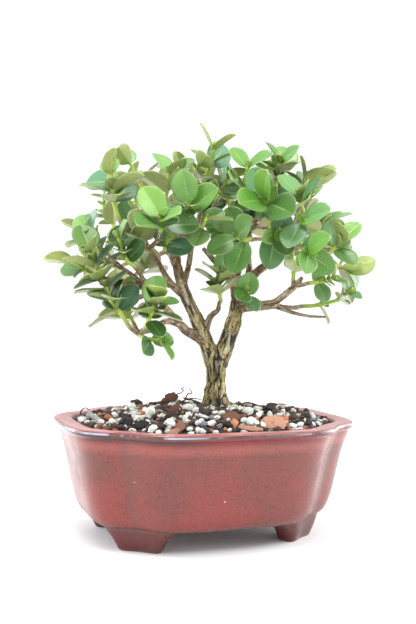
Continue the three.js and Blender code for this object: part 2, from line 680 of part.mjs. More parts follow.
// Points along a curve between two stations, each with the reach that leaves have to stay out of.
function reachAlong(owner, curve, from, to, count, startReach, endReach) {
  return evenStations(count).map((share) => ({
    owner,
    point: curve.getPoint(blend(from, to, share)),
    reach: blend(startReach, endReach, share),
  }));
}

// Everything that a leaf has to grow clear of before any leaf is there.
function woodReach() {
  const wood = BOUGHS.slice(1).flatMap(([, start, end, route]) => {
    const count = TESTS_ON_SPAN * (route.length - 1) + 1;
    return reachAlong(-1, curveOf(route), 0, 1, count, start + WOOD_MARGIN, end + WOOD_MARGIN);
  });
  const twigs = SHOOTS.flatMap((shoot, owner) => {
    const { curve, split } = shootRoute(shoot);
    const [start, end] = TWIG_RADII;
    return [
      ...reachAlong(-1, curve, 0, split, TESTS_ON_STEM, start + WOOD_MARGIN, end + WOOD_MARGIN),
      ...reachAlong(owner, curve, split, 1, TESTS_ON_STEM, STEM_REACH, STEM_REACH),
    ];
  });
  return [...wood, ...twigs];
}

// Whether none of a blade's test points comes too near another shoot's leaves or any wood.
function hasRoom(points, owner, taken) {
  return taken.every((other) => {
    if (other.owner === owner && !other.blade) {
      return true;
    }
    const least = (other.owner === owner ? OWN_BLADE_REACH : other.reach + BLADE_REACH) ** 2;
    return points.every((point) => point.distanceToSquared(other.point) > least);
  });
}

// Places every leaf, shoot by shoot. A leaf that finds no room at all is left out.
function placeLeaves() {
  const taken = woodReach();
  return SHOOTS.map((shoot, owner) => {
    const draw = drawFrom(LEAF_SEED + LEAF_SEED_STEP * owner);
    const axes = shootAxes(shoot);
    const [, , pairs, fullLength, firstTurn] = shoot;
    const leaves = [];
    axes.slice(1).forEach((at, pair) => {
      const age = Math.min(pairs - 1 - pair, LEAF_SIZE.length - 1);
      for (const side of [1, -1]) {
        const turn = firstTurn + 90 * pair + draw(...TURN_RANGE);
        const opening = LEAF_OPENING[age] + draw(...OPENING_RANGE);
        const length = fullLength * LEAF_SIZE[age] * draw(...LENGTH_RANGE);
        const habit = { ratio: draw(...RATIO_RANGE), fold: draw(...FOLD_RANGE), lift: draw(...LIFT_RANGE) };
        const roll = radians(draw(...ROLL_RANGE));
        for (const [turnBy, openBy, shrink] of LEAF_TRIES) {
          const leaf = leafPlace({
            ...habit,
            at,
            pair,
            turn: radians(turn + turnBy),
            opening: radians(opening + openBy),
            length: length * shrink,
            roll,
            side,
          });
          const points = bladeTestPoints(leaf);
          if (hasRoom(points, owner, taken)) {
            taken.push(...points.map((point) => ({ owner, point, reach: BLADE_REACH, blade: true })));
            leaves.push(leaf);
            break;
          }
        }
      }
    });
    return leaves;
  });
}

// The green end of a shoot: a four-sided stem with a short step at each leaf pair, whose leaves grow out of
// its sides, and a closed bud on its tip. A blade is two flat halves of even thickness, folded at the midrib.
function shootSolid(shoot, leaves) {
  const axes = shootAxes(shoot);
  const points = [];
  const faces = [];
  const add = (added) => {
    points.push(...added);
    return added.map((_, i) => points.length - added.length + i);
  };
  const cornerAngle = radians(shoot[4] - 45);
  const ring = (at, radius, shift) => {
    const corners = ringRound(at, Array(STEM_SIDES).fill(radius), cornerAngle);
    return add(corners.map((point) => point.addScaledVector(at.along, shift)));
  };
  const wall = (low, high, open = []) => {
    for (let i = 0; i < STEM_SIDES; i += 1) {
      const next = (i + 1) % STEM_SIDES;
      if (!open.includes(i)) {
        faces.push([low[i], low[next], high[next]]);
        faces.push([low[i], high[next], high[i]]);
      }
    }
  };
  const blade = (leaf, side, low, high) => {
    const next = (side + 1) % STEM_SIDES;
    const right = LEAF_OUTLINE.map(([share, across]) => bladePoint(leaf, share, -across));
    const left = LEAF_OUTLINE.map(([share, across]) => bladePoint(leaf, share, across)).reverse();
    const outline = [...right, bladePoint(leaf, 1, 0), ...left];
    const under = outline.map((point) => point.clone().addScaledVector(leaf.face, -LEAF_THICKNESS));
    const upper = [high[side], ...add(outline), high[next]];
    const lower = [low[side], ...add(under), low[next]];
    for (const [a, b, c] of BLADE_FACES) {
      faces.push([upper[a], upper[b], upper[c]]);
      faces.push([lower[c], lower[b], lower[a]]);
    }
    for (let i = 0; i < upper.length - 1; i += 1) {
      faces.push([upper[i], lower[i], lower[i + 1]]);
      faces.push([upper[i], lower[i + 1], upper[i + 1]]);
    }
  };
  const radiusAt = (i) => blend(...STEM_RADII, i / (axes.length - 1));
  const start = ring(axes[0], radiusAt(0), 0);
  let below = start;
  axes.slice(1).forEach((at, pair) => {
    const low = ring(at, radiusAt(pair + 1), -NODE_HEIGHT / 2);
    const high = ring(at, radiusAt(pair + 1), NODE_HEIGHT / 2);
    const grown = leaves.filter((leaf) => leaf.pair === pair);
    const sideOf = (leaf) => (pair + (leaf.side > 0 ? 0 : STEM_SIDES / 2)) % STEM_SIDES;
    wall(below, low);
    wall(low, high, grown.map(sideOf));
    grown.forEach((leaf) => blade(leaf, sideOf(leaf), low, high));
    below = high;
  });
  const bud = ring(axes[axes.length - 1], STEM_RADII[1] * BUD_TAPER, BUD_LENGTH);
  wall(below, bud);
  for (const [a, b, c] of ringFill(STEM_SIDES)) {
    faces.push([start[c], start[b], start[a]]);
    faces.push([bud[a], bud[b], bud[c]]);
  }
  return solidOf(points, faces);
}

// Colours of the pieces.
const GLAZE_RED = 0x9c4248;
const SCREEN_BLACK = 0x2b2b2b;
const SOIL_BROWN = 0x6b5a4c;
const BARK_TAN = 0x8a7458;
const LEAF_GREEN = 0x4f8a4a;

const bonsai = new THREE.Group();
bonsai.add(piece("pot", pot(), GLAZE_RED, 0.25));
bonsai.add(piece("drain_screen_left", screen(-DRAIN_X), SCREEN_BLACK, 0.6));
bonsai.add(piece("drain_screen_right", screen(DRAIN_X), SCREEN_BLACK, 0.6));
bonsai.add(piece("soil", soil(), SOIL_BROWN, 0.95));

const tree = new THREE.Group();
tree.rotation.z = TREE_TURN;
tree.add(piece("trunk", trunk(), BARK_TAN, 0.9));
placeLeaves().forEach((leaves, i) => {
  const name = "shoot_" + String(i + 1).padStart(2, "0");
  tree.add(piece(name, shootSolid(SHOOTS[i], leaves), LEAF_GREEN, 0.4));
});
bonsai.add(tree);

// The whole object stands with the middle of its base box at the origin.
const box = new THREE.Box3().setFromObject(bonsai, true);
bonsai.position.set(-(box.min.x + box.max.x) / 2, -(box.min.y + box.max.y) / 2, -box.min.z);

export default bonsai;
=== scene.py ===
import math

import bmesh
import bpy
import numpy as np
from mathutils import Matrix, Vector


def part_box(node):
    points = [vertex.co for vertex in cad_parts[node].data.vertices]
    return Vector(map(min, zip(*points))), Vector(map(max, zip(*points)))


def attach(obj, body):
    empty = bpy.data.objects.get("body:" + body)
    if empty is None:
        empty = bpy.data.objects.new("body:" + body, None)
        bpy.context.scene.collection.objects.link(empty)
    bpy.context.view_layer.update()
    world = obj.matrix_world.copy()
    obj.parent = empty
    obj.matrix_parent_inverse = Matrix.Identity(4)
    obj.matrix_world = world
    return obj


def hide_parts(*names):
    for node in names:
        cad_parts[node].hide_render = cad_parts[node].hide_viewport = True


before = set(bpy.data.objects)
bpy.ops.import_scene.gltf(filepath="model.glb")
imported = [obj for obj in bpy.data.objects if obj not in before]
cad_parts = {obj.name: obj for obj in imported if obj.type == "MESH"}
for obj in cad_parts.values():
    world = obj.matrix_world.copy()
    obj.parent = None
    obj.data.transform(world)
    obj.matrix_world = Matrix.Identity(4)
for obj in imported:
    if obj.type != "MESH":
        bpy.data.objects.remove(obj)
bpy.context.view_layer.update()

MM = 0.001
POT_MIDDLE = np.mean(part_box("pot"), axis=0) * [1, 1, 0]
TREE_TURN = math.radians(-21.1)
SHOOT_NODES = sorted(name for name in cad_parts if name.startswith("shoot_"))

# Pot: its outline's two crossed oblongs, as in the solids.
POT_HALF_LENGTH = 100
POT_HALF_DEPTH = 80.3
LONG_LOBE_HALF_WIDTH = 57.2
CROSS_LOBE_HALF_WIDTH = 76
LONG_LOBE_POWER = 4.5
CROSS_LOBE_POWER = 4.1
NOTCH_SHARPNESS = 16
NOTCH_ANGLE = math.radians(36.85)
DRAIN_X = 34
DRAIN_RADIUS = 7.5
DRAIN_CUT = [13, 23]

# Outside, over the lip and down the inside: inset from the rim's outline, and height.
POT_PROFILE = [
    [40, 14.4], [24.5, 14.4], [21.4, 14.6], [19.5, 15.7], [17.4, 18], [15.6, 21.6], [13.8, 26.8], [12.2, 33],
    [10.9, 39.5], [9.6, 46.5], [8.5, 52.5], [7.4, 57.5], [6.2, 62], [4.9, 66], [3.7, 69.4], [2.8, 72],
    [2.1, 73.4], [1.4, 74.1], [0.4, 74.7], [0, 75.6], [0, 77.3], [0.7, 78.6], [2.4, 78.9], [5.6, 78.8],
    [9.8, 78.5], [11.6, 77.9], [12.4, 76.2], [13.1, 73], [14.2, 62], [15.7, 46], [17, 32], [19, 24], [23, 21],
    [40, 21],
]
# The points of the profile that are the outside of the wall, from the foot up to the lip.
WALL_POINTS = slice(1, 21)
# Feet: height, half turn round the notch in degrees, and the insets of the outer and inner side.
FOOT_PROFILE = [
    [18, 22, 20.8, 40], [14.6, 21.4, 21.2, 40], [12.6, 20, 21.5, 40], [10.6, 17.6, 21.8, 39.6],
    [8, 15, 22.2, 39], [5, 13.4, 22.9, 38.4], [2.4, 12.4, 23.7, 37.8], [0.7, 11.9, 24.3, 37.3],
    [0, 11.4, 24.9, 36.8],
]
FOOT_SQUARENESS = 0.5
# Where the glaze changes: between two heights, two insets from the rim or two depths behind the wall.
LIP_TOP_HEIGHTS = [76.6, 78.2]
LIP_TOP_INSETS = [-0.5, 0.7]
LIP_FACE_INSETS = [3.6, 2.4]
NEAR_RIM_INSETS = [8, 6]
INSIDE_DEPTHS = [8, 10]
LIP_FACE_BOTTOM = 70
NEAR_RIM_BOTTOM = 60
INSIDE_HEIGHTS = [20, 78]
NOTCH_WIDTH = 0.035

# Soil: its edge's height, its mound towards the trunk, the wall it lies against, and how far its bed and its
# grains reach.
SOIL_EDGE_HEIGHT = 76.2
SOIL_MOUND = 9
SOIL_INSET = 13.9
PEAT_INSET = SOIL_INSET + 0.2
PEAT_BOTTOM = 60
SOIL_HALF_LENGTH = 86
SOIL_HALF_DEPTH = 66
TRUNK_CLEARANCE = 10.5

# Boughs: radius at each end, and the route that the middle of the wood follows.
BOUGHS = [
    [9.6, 6.8, [[8.6, 18, 83], [8, 18, 90], [8, 18, 102]]],
    [6.8, 8, [[8, 18, 101], [8, 18, 112], [8, 18, 120]]],
    [6.2, 2.4, [[6, 18, 115], [1, 16, 129], [-5, 12, 143], [-11, 8, 155], [-16, 4, 167], [-20, 1, 181],
      [-21, -1, 191], [-18, -5, 205]]],
    [6.6, 3.8, [[10, 18, 115], [16, 20, 132], [20, 22, 145], [22, 24, 155], [22, 25, 163], [20, 25, 174]]],
    [3.2, 1.6, [[19, 24, 171], [12, 14, 181], [5, 6, 188], [-3, 0, 196]]],
    [2.8, 1.6, [[19, 24, 172], [15, 30, 188], [13, 34, 198], [10, 38, 212]]],
    [2.6, 1.6, [[21, 24, 170], [23, 22, 182], [24, 20, 191], [26, 18, 202], [29, 16, 215]]],
    [3.2, 1.8, [[22, 25, 164], [29, 30, 175], [31, 34, 184], [30, 38, 196], [28, 42, 210]]],
    [3.4, 2.4, [[27, 27, 171], [35, 22, 180], [42, 16, 186], [49, 10, 191], [56, 3, 194.5]]],
    [2.2, 1.4, [[53, 6, 193], [66, -2, 194], [79, -8, 195]]],
    [4.2, 3.2, [[22, 25, 155], [34, 20, 157], [41, 14, 157], [49, 9, 158.5]]],
    [2.6, 2.2, [[46, 11, 157.5], [55, 4, 165], [62, -1, 172]]],
    [2, 1.6, [[60, 1, 170], [66, -4, 177]]],
    [2.2, 1.6, [[46, 11, 157.5], [56, 12, 156], [65, 15, 156]]],
    [1.8, 0.9, [[49, 11, 156.5], [67, 6, 151], [84, 2, 150]]],
    [2.6, 1.7, [[-16, 3, 169], [-13, 8, 184], [-11, 14, 198], [-8, 18, 210]]],
    [4, 1.9, [[2, 17, 128], [-9, 8, 136], [-14, 2, 139], [-22, -8, 148], [-31, -18, 158], [-37, -26, 166]]],
    [2.8, 1.6, [[-16, 4, 163], [-23, 0, 169], [-28, -8, 176], [-33, -16, 185], [-39, -24, 193]]],
    [1.8, 1, [[-23, -1, 169], [-32, -10, 170], [-41, -18, 168]]],
    [2.6, 1.6, [[-1, 14.5, 134], [3, 8, 148], [8, 2, 153], [9, -2, 158]]],
    [2.2, 1.5, [[-16, -1, 142], [-27, -14, 145], [-37, -26, 139], [-44, -32, 137]]],
    [3, 1.8, [[20, 24, 170], [23, 44, 189], [25, 56, 206]]],
    [2.6, 1.6, [[-20, 1, 180], [-28, 18, 195], [-38, 34, 209]]],
]
TRUNK_FOOT = [8.6, 18, 84]
ROOT_DEPTH = 34
ROOT_TIP_RADIUS = 6
ROOT_TOP_RADIUS = 9.4
TWIG_RADII = [1.9, 1.5]
WOOD_GRAIN = 0.75

# Shoots: the route of the brown twig, the route of its green end, the number of leaf pairs on that end, the
# length of a full leaf, and the turn of the lowest pair about the stem in degrees.
SHOOTS = [
    [[[-39, -24, 193], [-48, -30, 200], [-57, -34, 210]],
      [[-61, -36, 221], [-62, -38, 228], [-64, -38, 240]], 3, 26, 90],
    [[[-39, -24, 193], [-45, -20, 207], [-50, -16, 221]],
      [[-55, -16, 228], [-61, -18, 237], [-67, -20, 246]], 3, 21.5, 70],
    [[[-38, 34, 209], [-32, 10, 214], [-30, -4, 220]],
      [[-29, -8, 228], [-28, -10, 236], [-27, -12, 245]], 2, 24.5, 45],
    [[[-18, -5, 205], [-12, -22, 208], [-10, -32, 214]],
      [[-12, -36, 218], [-12, -40, 221]], 2, 27.5, 20],
    [[[-8, 18, 210], [-5, 14, 227], [-4, 10, 241]],
      [[0, 6, 252], [3, 2, 264]], 2, 26, 85],
    [[[-8, 18, 210], [-14, 0, 222], [-15, -8, 235]],
      [[-11, -10, 243], [-7, -12, 251]], 2, 22.5, 45],
    [[[-38, 34, 209], [-41, 28, 220], [-42, 24, 231]],
      [[-48.5, 22, 242], [-56, 20, 256]], 2, 25, 0],
    [[[-39, -24, 193], [-32, -42, 198], [-30, -50, 203]],
      [[-29, -54, 206], [-29, -58, 210]], 2, 27, 60],
    [[[-38, 34, 209], [-41, 20, 204], [-43, 10, 204]],
      [[-47, 4, 206], [-49, 0, 208]], 2, 25, 150],
    [[[-21, -1, 191], [-26, -16, 191], [-28, -24, 193]],
      [[-28, -28, 195], [-25, -32, 200]], 2, 19.5, 120],
    [[[-18, -5, 205], [-12, -24, 202], [-9, -34, 202]],
      [[-4, -40, 206.5], [-1, -46, 212]], 2, 21.5, 105],
    [[[-8, 18, 210], [1, 22, 222], [6, 24, 232]],
      [[9, 22, 238], [13, 20, 247]], 3, 28, 85],
    [[[10, 38, 212], [20, 10, 220], [21, -4, 229]],
      [[23, -8, 236], [26, -12, 250]], 2, 25, 75],
    [[[29, 16, 215], [42, 14, 228], [46, 8, 238]],
      [[48, 4, 246], [49, 0, 255]], 3, 25, 0],
    [[[29, 16, 215], [39, -18, 219], [41, -28, 223]],
      [[40, -32, 224], [37, -38, 225]], 2, 31, 160],
    [[[55, 4, 194], [62, 0, 220], [66, 0, 233]],
      [[66, 0, 238], [67, 0, 243]], 2, 28.5, 90],
    [[[55, 4, 194], [60, -20, 210], [63, -26, 220]],
      [[62, -28, 223], [61, -30, 229]], 2, 26, 70],
    [[[55, 4, 194], [58, -30, 203], [62, -38, 211]],
      [[60, -42, 210], [60, -46, 211]], 1, 27, 65],
    [[[29, 16, 215], [37, -14, 210], [41, -26, 209]],
      [[44, -32, 205.5], [45, -38, 204]], 2, 25, 30],
    [[[55, 4, 194], [58, -24, 197], [60, -42, 197]],
      [[61.5, -50, 193.5], [63, -60, 192]], 2, 24, 115],
    [[[79, -8, 195], [84, -10, 196]],
      [[86, -12, 196], [90, -14, 201]], 2, 22.5, 175],
    [[[66, -2, 194], [81, 12, 191], [91, 20, 189]],
      [[94, 22, 186], [99, 24, 185]], 2, 27, 150],
    [[[61, 0, 171], [60, -1, 175]],
      [[60, -2, 180], [59, -4, 189]], 2, 20.5, 90],
    [[[61, 0, 171], [66, -6, 172], [70, -10, 173]],
      [[76, -14, 174], [84, -18, 176]], 3, 16, 15],
    [[[9, -2, 158], [10, -3, 160]],
      [[9, -4, 166.5], [8, -6, 178]], 3, 23.5, 60],
    [[[22, 25, 163], [25, 12, 162], [26, 4, 162]],
      [[27, 0, 163], [28, -6, 166]], 2, 19.5, 165],
    [[[64, 15, 156], [68, 15, 157]],
      [[78, 12, 158], [92, 6, 162], [98, 2, 167]], 3, 15, 165],
    [[[79, -8, 195], [79, -2, 200], [80, 2, 206]],
      [[79, 4, 210], [78, 6, 214]], 3, 20, 55],
    [[[28, 42, 210], [32, 20, 217], [30, 4, 222]],
      [[30, -2, 224], [30, -8, 225]], 2, 26, 90],
    [[[29, 16, 215], [29, -6, 205], [29, -20, 202]],
      [[25, -28, 200], [20, -36, 201]], 2, 26, 165],
    [[[10, 38, 212], [12, 14, 206], [13, 0, 203]],
      [[13, -8, 204], [14, -16, 208]], 2, 24, 80],
    [[[-44, -32, 137], [-49, -38, 141]],
      [[-55, -40, 150], [-61, -44, 159], [-65, -46, 168], [-70, -48, 177], [-74, -50, 189]], 6, 24.5, 15],
    [[[-37, -26, 166], [-54, -30, 179], [-65, -34, 184]],
      [[-69.5, -36, 190], [-71, -38, 194], [-74.5, -38, 198], [-79, -38, 204]], 4, 19, 0],
    [[[-37, -26, 166], [-56, -30, 171], [-70, -34, 174]],
      [[-77.5, -38, 177.5], [-87, -42, 183]], 2, 24.5, 120],
    [[[-37, -26, 166], [-42, -34, 174], [-46, -42, 180]],
      [[-52, -48, 186], [-56, -52, 197]], 3, 19.5, 150],
    [[[-44, -32, 137], [-39, -46, 141]],
      [[-36, -52, 147], [-33, -56, 154], [-30, -60, 160]], 4, 22.5, 130],
    [[[-44, -32, 137], [-42, -40, 136]],
      [[-36, -46, 134], [-29, -54, 134]], 2, 18.5, 120],
    [[[-39, -24, 193], [-44, -30, 191], [-47, -32, 192]],
      [[-47.5, -34, 196], [-45, -36, 202]], 2, 23.5, 120],
    [[[-37, -26, 166], [-45, -12, 161], [-51, -6, 159]],
      [[-52, -2, 157.5], [-55, 0, 161]], 2, 21, 60],
    [[[-44, -32, 137], [-48, -22, 143]],
      [[-51, -18, 148], [-52, -20, 155]], 3, 24.5, 40],
    [[[-37, -26, 166], [-41, -10, 170], [-45, -2, 175]],
      [[-45.5, 0, 178.5], [-43, 2, 185]], 3, 25.5, 30],
    [[[-57, -31, 180.5], [-70, -20, 192], [-75, -14, 198]],
      [[-79.5, -12, 200], [-86, -10, 206]], 2, 21, 160],
    [[[-28, 18, 195], [-49, 34, 187], [-60, 44, 186]],
      [[-67, 48, 183.5], [-75, 52, 185.5], [-83, 54, 189]], 3, 26, 155],
    [[[-38, 34, 209], [-57, 50, 210], [-68, 58, 212]],
      [[-71, 60, 215], [-76, 62, 221], [-80, 62, 230]], 3, 20.5, 130],
    [[[-38, 34, 209], [-47, 52, 219], [-54, 62, 229]],
      [[-56, 66, 237], [-60, 68, 248]], 3, 25, 150],
    [[[-38, 34, 209], [-32, 50, 223], [-28, 58, 236]],
      [[-24, 60, 246], [-22, 60, 259]], 3, 25, 70],
    [[[-8, 18, 210], [-10, 44, 218], [-12, 58, 227]],
      [[-10.5, 64, 238], [-8, 68, 251]], 3, 25, 165],
    [[[10, 38, 212], [6, 60, 220], [5, 72, 229]],
      [[4, 78, 237], [3, 82, 250]], 3, 25, 30],
    [[[25, 56, 206], [18, 66, 221], [17, 70, 232]],
      [[14.5, 70, 239], [13, 68, 251]], 3, 25, 30],
    [[[25, 56, 206], [37, 66, 218], [43, 70, 229]],
      [[46, 70, 239.5], [47, 68, 254]], 3, 25, 120],
    [[[28, 42, 210], [40, 46, 225], [47, 46, 236]],
      [[49, 46, 243], [51, 44, 253]], 3, 20.5, 45],
    [[[25, 56, 206], [52, 66, 210], [65, 66, 218]],
      [[70, 66, 223], [74, 64, 231], [77, 62, 239]], 3, 19.5, 165],
    [[[55, 4, 194], [72, 30, 202], [82, 44, 209]],
      [[87, 50, 212.5], [91, 54, 217.5], [94, 56, 223]], 3, 19.5, 165],
    [[[66, -2, 194], [80, 26, 196], [89, 36, 199]],
      [[92, 42, 204], [97, 48, 212]], 3, 23, 115],
    [[[25, 56, 206], [28, 80, 211], [30, 90, 217]],
      [[32, 96, 220], [35, 100, 230]], 3, 27.5, 165],
]
STEM_RADII = [1.45, 1.05]
CLEARANCE = 0.3
LEAFY_SHARE = 0.92

# Leaves: the rule that places them, as in the solids.
LEAF_OPENING = [45, 60, 68, 72]
LEAF_OPENING_SHAKE = 10
LEAF_TURN_SHAKE = 14
LEAF_ROLL_SHAKE = 38
LEAF_LENGTHS = [0.88, 1.1]
LEAF_RATIOS = [0.66, 0.84]
LEAF_FOLDS = [0.12, 0.34]
LEAF_LIFTS = [0.1, 0.7]
LEAF_SIZE = [0.86, 1, 1, 0.92]
LIGHT = np.array([0, -0.45, 0.9])
# A blade for the test of room: shares of its length, each with its share of the half width, and the places
# across it.
BLADE_STATIONS = [[0.3, 0.82], [0.5, 0.97], [0.66, 0.9], [0.86, 0.66]]
BLADE_ACROSS = [-0.92, -0.46, 0, 0.46, 0.92]
BLADE_SHARES = np.array([1.0] + [share for share, _ in BLADE_STATIONS for _ in BLADE_ACROSS])
BLADE_SIDES = np.array([0.0] + [across * width for _, width in BLADE_STATIONS for across in BLADE_ACROSS])
# For the test of room: how far a blade's points reach, how far apart two blades of one shoot stay in all, how
# far a green stem's points reach, and a bough's beyond its radius.
BLADE_REACH = 2.1
OWN_BLADE_REACH = 3.1
STEM_REACH = 2
WOOD_MARGIN = 0.5
LEAF_NEIGHBOURHOOD = 42
# A leaf's tries, of which the first with room is taken: degrees that it is turned and opened by, and its size.
LEAF_TRIES = [
    [0, 0, 1], [25, 0, 1], [-25, 0, 1], [0, 22, 1], [0, -22, 1], [45, 0, 1], [-45, 0, 1], [25, 22, 1],
    [-25, 22, 1], [25, -22, 1], [-25, -22, 1], [0, 0, 0.8], [30, 0, 0.8], [-30, 0, 0.8], [0, 30, 0.8],
    [0, -30, 0.8], [60, 0, 0.8], [-60, 0, 0.8],
]


class Draw:
    """Numbers drawn one after another: the last one times a factor, modulo a large prime."""

    FACTOR = 16807
    PRIME = 2147483647

    def __init__(self, seed):
        self.state = seed

    def __call__(self, low, high):
        """The next number, between two limits."""
        self.state = self.state * self.FACTOR % self.PRIME
        return low + (high - low) * self.state / self.PRIME


def rising(values, low, high):
    """0 at the first limit and 1 at the second, even between them and held beyond them."""
    return np.clip((values - low) / (high - low), 0, 1)


def bell(distance, width):
    """exp(-(distance / width)^2)."""
    return np.exp(-((distance / width) ** 2))


def between(ends, share):
    """What runs evenly from the first of two ends to the last."""
    return ends[0] + (ends[1] - ends[0]) * share


def all_round(count):
    """So many even angles in a full turn."""
    return np.arange(count) * 2 * math.pi / count


def unit(vectors):
    """Vectors divided by their lengths."""
    return vectors / np.linalg.norm(vectors, axis=-1, keepdims=True)


def on_pot(points):
    """Millimetres about the pot's middle, as metres in the part's frame."""
    return np.asarray(points, float) * MM + POT_MIDDLE


def turned(points):
    """Points of the tree as the viewer faces it, turned about the upright axis into the pot's directions."""
    x, y, z = np.moveaxis(np.asarray(points, float), -1, 0)
    c, s = math.cos(TREE_TURN), math.sin(TREE_TURN)
    return np.stack([c * x - s * y, s * x + c * y, z], -1)


def on_tree(points):
    """Millimetres as the viewer faces the tree, as metres in the part's frame."""
    return on_pot(turned(points))


# Large odd numbers that scatter the numbers of the noise's grid.
CELL_PRIMES = [73856093, 19349663, 83492791]
SEED_PRIME = 2654435761
SEED_START = 12345
SHUFFLES = [[13, 1274126177], [15, 2246822519]]


def noise(points, seed=0):
    """Smooth numbers from -1 to 1: each corner of a unit grid has a number, and they blend by 3t^2 - 2t^3."""
    points = np.asarray(points, float)
    cell = np.floor(points).astype(np.int64)
    t = points - cell
    t = t * t * (3 - 2 * t)
    total = 0
    for corner in np.ndindex(2, 2, 2):
        x, y, z = np.moveaxis(cell + corner, -1, 0)
        drawn = (x * CELL_PRIMES[0]) ^ (y * CELL_PRIMES[1]) ^ (z * CELL_PRIMES[2])
        drawn = drawn ^ (seed * SEED_PRIME + SEED_START)
        for shift, prime in SHUFFLES:
            drawn = ((drawn ^ (drawn >> shift)) * prime) & 0xFFFFFFFF
        share = np.prod(np.where(corner, t, 1 - t), axis=-1)
        total = total + share * (((drawn >> 8) & 0xFFFF) / 32767.5 - 1)
    return total


def clouds(points, octaves=3, seed=0):
    """Noise added to itself at double the fineness and half the height, so often."""
    return sum(noise(np.asarray(points) * 2**i, seed + i) / 2**i for i in range(octaves))


def chaikin(points, times):
    """Each corner cut at a quarter and three quarters of its two sides, so often; the ends stay."""
    points = np.asarray(points, float)
    for _ in range(times):
        near = points[:-1] * 0.75 + points[1:] * 0.25
        far = points[:-1] * 0.25 + points[1:] * 0.75
        points = np.vstack([points[:1], np.stack([near, far], 1).reshape(-1, points.shape[1]), points[-1:]])
    return points


class Route:
    """The curve through a route's points: between two points a cubic, whose slope at a point is half the step
    from the point before it to the point after it."""

    def __init__(self, points):
        p = np.asarray(points, float)
        self.spans = len(p) - 1
        self.points = np.vstack([2 * p[0] - p[1], p, 2 * p[-1] - p[-2]])

    def at(self, stations):
        """The points at stations from 0 to 1, of which each span has an even share."""
        place = np.clip(np.atleast_1d(stations), 0, 1) * self.spans
        span = np.minimum(place.astype(int), self.spans - 1)
        t = (place - span)[:, None]
        a, b, c, d = (self.points[span + i] for i in range(4))
        leave, arrive = (c - a) / 2, (d - b) / 2
        square = 3 * c - 3 * b - 2 * leave - arrive
        cube = 2 * b - 2 * c + leave + arrive
        return b + leave * t + square * t**2 + cube * t**3

    def direction(self, stations):
        """The way the curve runs at each station: from just before it to just after it."""
        stations = np.atleast_1d(np.asarray(stations, float))
        return unit(self.at(np.minimum(stations + 1e-4, 1)) - self.at(np.maximum(stations - 1e-4, 0)))

    def length(self):
        """The curve's length, as 200 straight steps."""
        return np.linalg.norm(np.diff(self.at(np.linspace(0, 1, 201)), axis=0), axis=1).sum()

    def axes(self, stations):
        """Middle, along, across and other axis at each station, turned as little as can be from the last."""
        middle, along = self.at(stations), self.direction(stations)
        across = np.empty_like(along)
        last = np.cross([0, 1, 0], along[0])
        for i, direction in enumerate(along):
            last = last - direction * (last @ direction)
            last = last / np.linalg.norm(last)
            across[i] = last
        return middle, along, across, np.cross(along, across)


def tube(axes, radii, sides):
    """Rings of points round a route: middle + radius * (cos a * across + sin a * other)."""
    middle, _, across, other = axes
    angle = all_round(sides)
    radii = np.broadcast_to(np.asarray(radii, float).reshape(len(middle), -1), (len(middle), sides))
    ring = across[:, None] * np.cos(angle)[:, None] + other[:, None] * np.sin(angle)[:, None]
    return middle[:, None] + ring * radii[..., None]


def ring_faces(rows, columns):
    """Four-cornered faces between neighbouring rings of points."""
    row, column = np.meshgrid(np.arange(rows - 1) * columns, np.arange(columns), indexing="ij")
    after = (column + 1) % columns
    corners = [row + column, row + after, row + columns + after, row + columns + column]
    return np.stack(corners, -1).reshape(-1, 4)


class Shell:
    """Points, faces and numbers of many closed surfaces that make one piece."""

    def __init__(self):
        self.points, self.faces, self.numbers, self.count = [], [], {}, 0

    def add(self, points, faces, **numbers):
        """More points, groups of faces that count from the first of them, and numbers for all or for each."""
        points = np.asarray(points, float).reshape(-1, 3)
        self.points.append(points)
        self.faces += [np.asarray(group) + self.count for group in faces]
        for name, values in numbers.items():
            values = np.asarray(values, float)
            wide = np.broadcast_to(values, (len(points),) + values.shape[1:]) if values.ndim < 2 else values
            self.numbers.setdefault(name, []).append(wide)
        self.count += len(points)

    def add_tube(self, rings, **numbers):
        """Rings closed at both ends by a fan to the middle of the end ring."""
        rows, columns = rings.shape[:2]
        points = np.vstack([rings.reshape(-1, 3), rings[:1].mean(1), rings[-1:].mean(1)])
        around = np.arange(columns)
        after = (around + 1) % columns
        top = (rows - 1) * columns
        low = np.stack([after, around, np.full(columns, rows * columns)], -1)
        high = np.stack([around + top, after + top, np.full(columns, rows * columns + 1)], -1)
        wide = {}
        for name, values in numbers.items():
            values = np.asarray(values, float)
            if values.ndim >= 2 and values.shape[:2] == (rows, columns):
                flat = values.reshape((-1,) + values.shape[2:])
                values = np.concatenate([flat, values[:1].mean(1), values[-1:].mean(1)])
            wide[name] = values
        self.add(points, [ring_faces(rows, columns), low, high], **wide)

    def mesh(self, name):
        """All of it as one mesh, in metres."""
        points = on_pot(np.vstack(self.points))
        loops = np.concatenate([group.ravel() for group in self.faces]).astype(np.int32)
        sizes = np.concatenate([np.full(len(group), group.shape[1]) for group in self.faces])
        mesh = bpy.data.meshes.new(name)
        mesh.vertices.add(len(points))
        mesh.vertices.foreach_set("co", points.astype(np.float32).ravel())
        mesh.loops.add(len(loops))
        mesh.loops.foreach_set("vertex_index", loops)
        mesh.polygons.add(len(sizes))
        mesh.polygons.foreach_set("loop_start", (np.cumsum(sizes) - sizes).astype(np.int32))
        mesh.update(calc_edges=True)
        for key, parts in self.numbers.items():
            give(mesh, key, np.concatenate(parts))
        return mesh


def give(mesh, name, values):
    """A number, or three, for each point of a mesh, which its material reads by this name."""
    kind = "FLOAT" if values.ndim == 1 else "FLOAT_VECTOR"
    layer = mesh.attributes.new(name, kind, "POINT")
    layer.data.foreach_set("value" if kind == "FLOAT" else "vector", values.astype(np.float32).ravel())


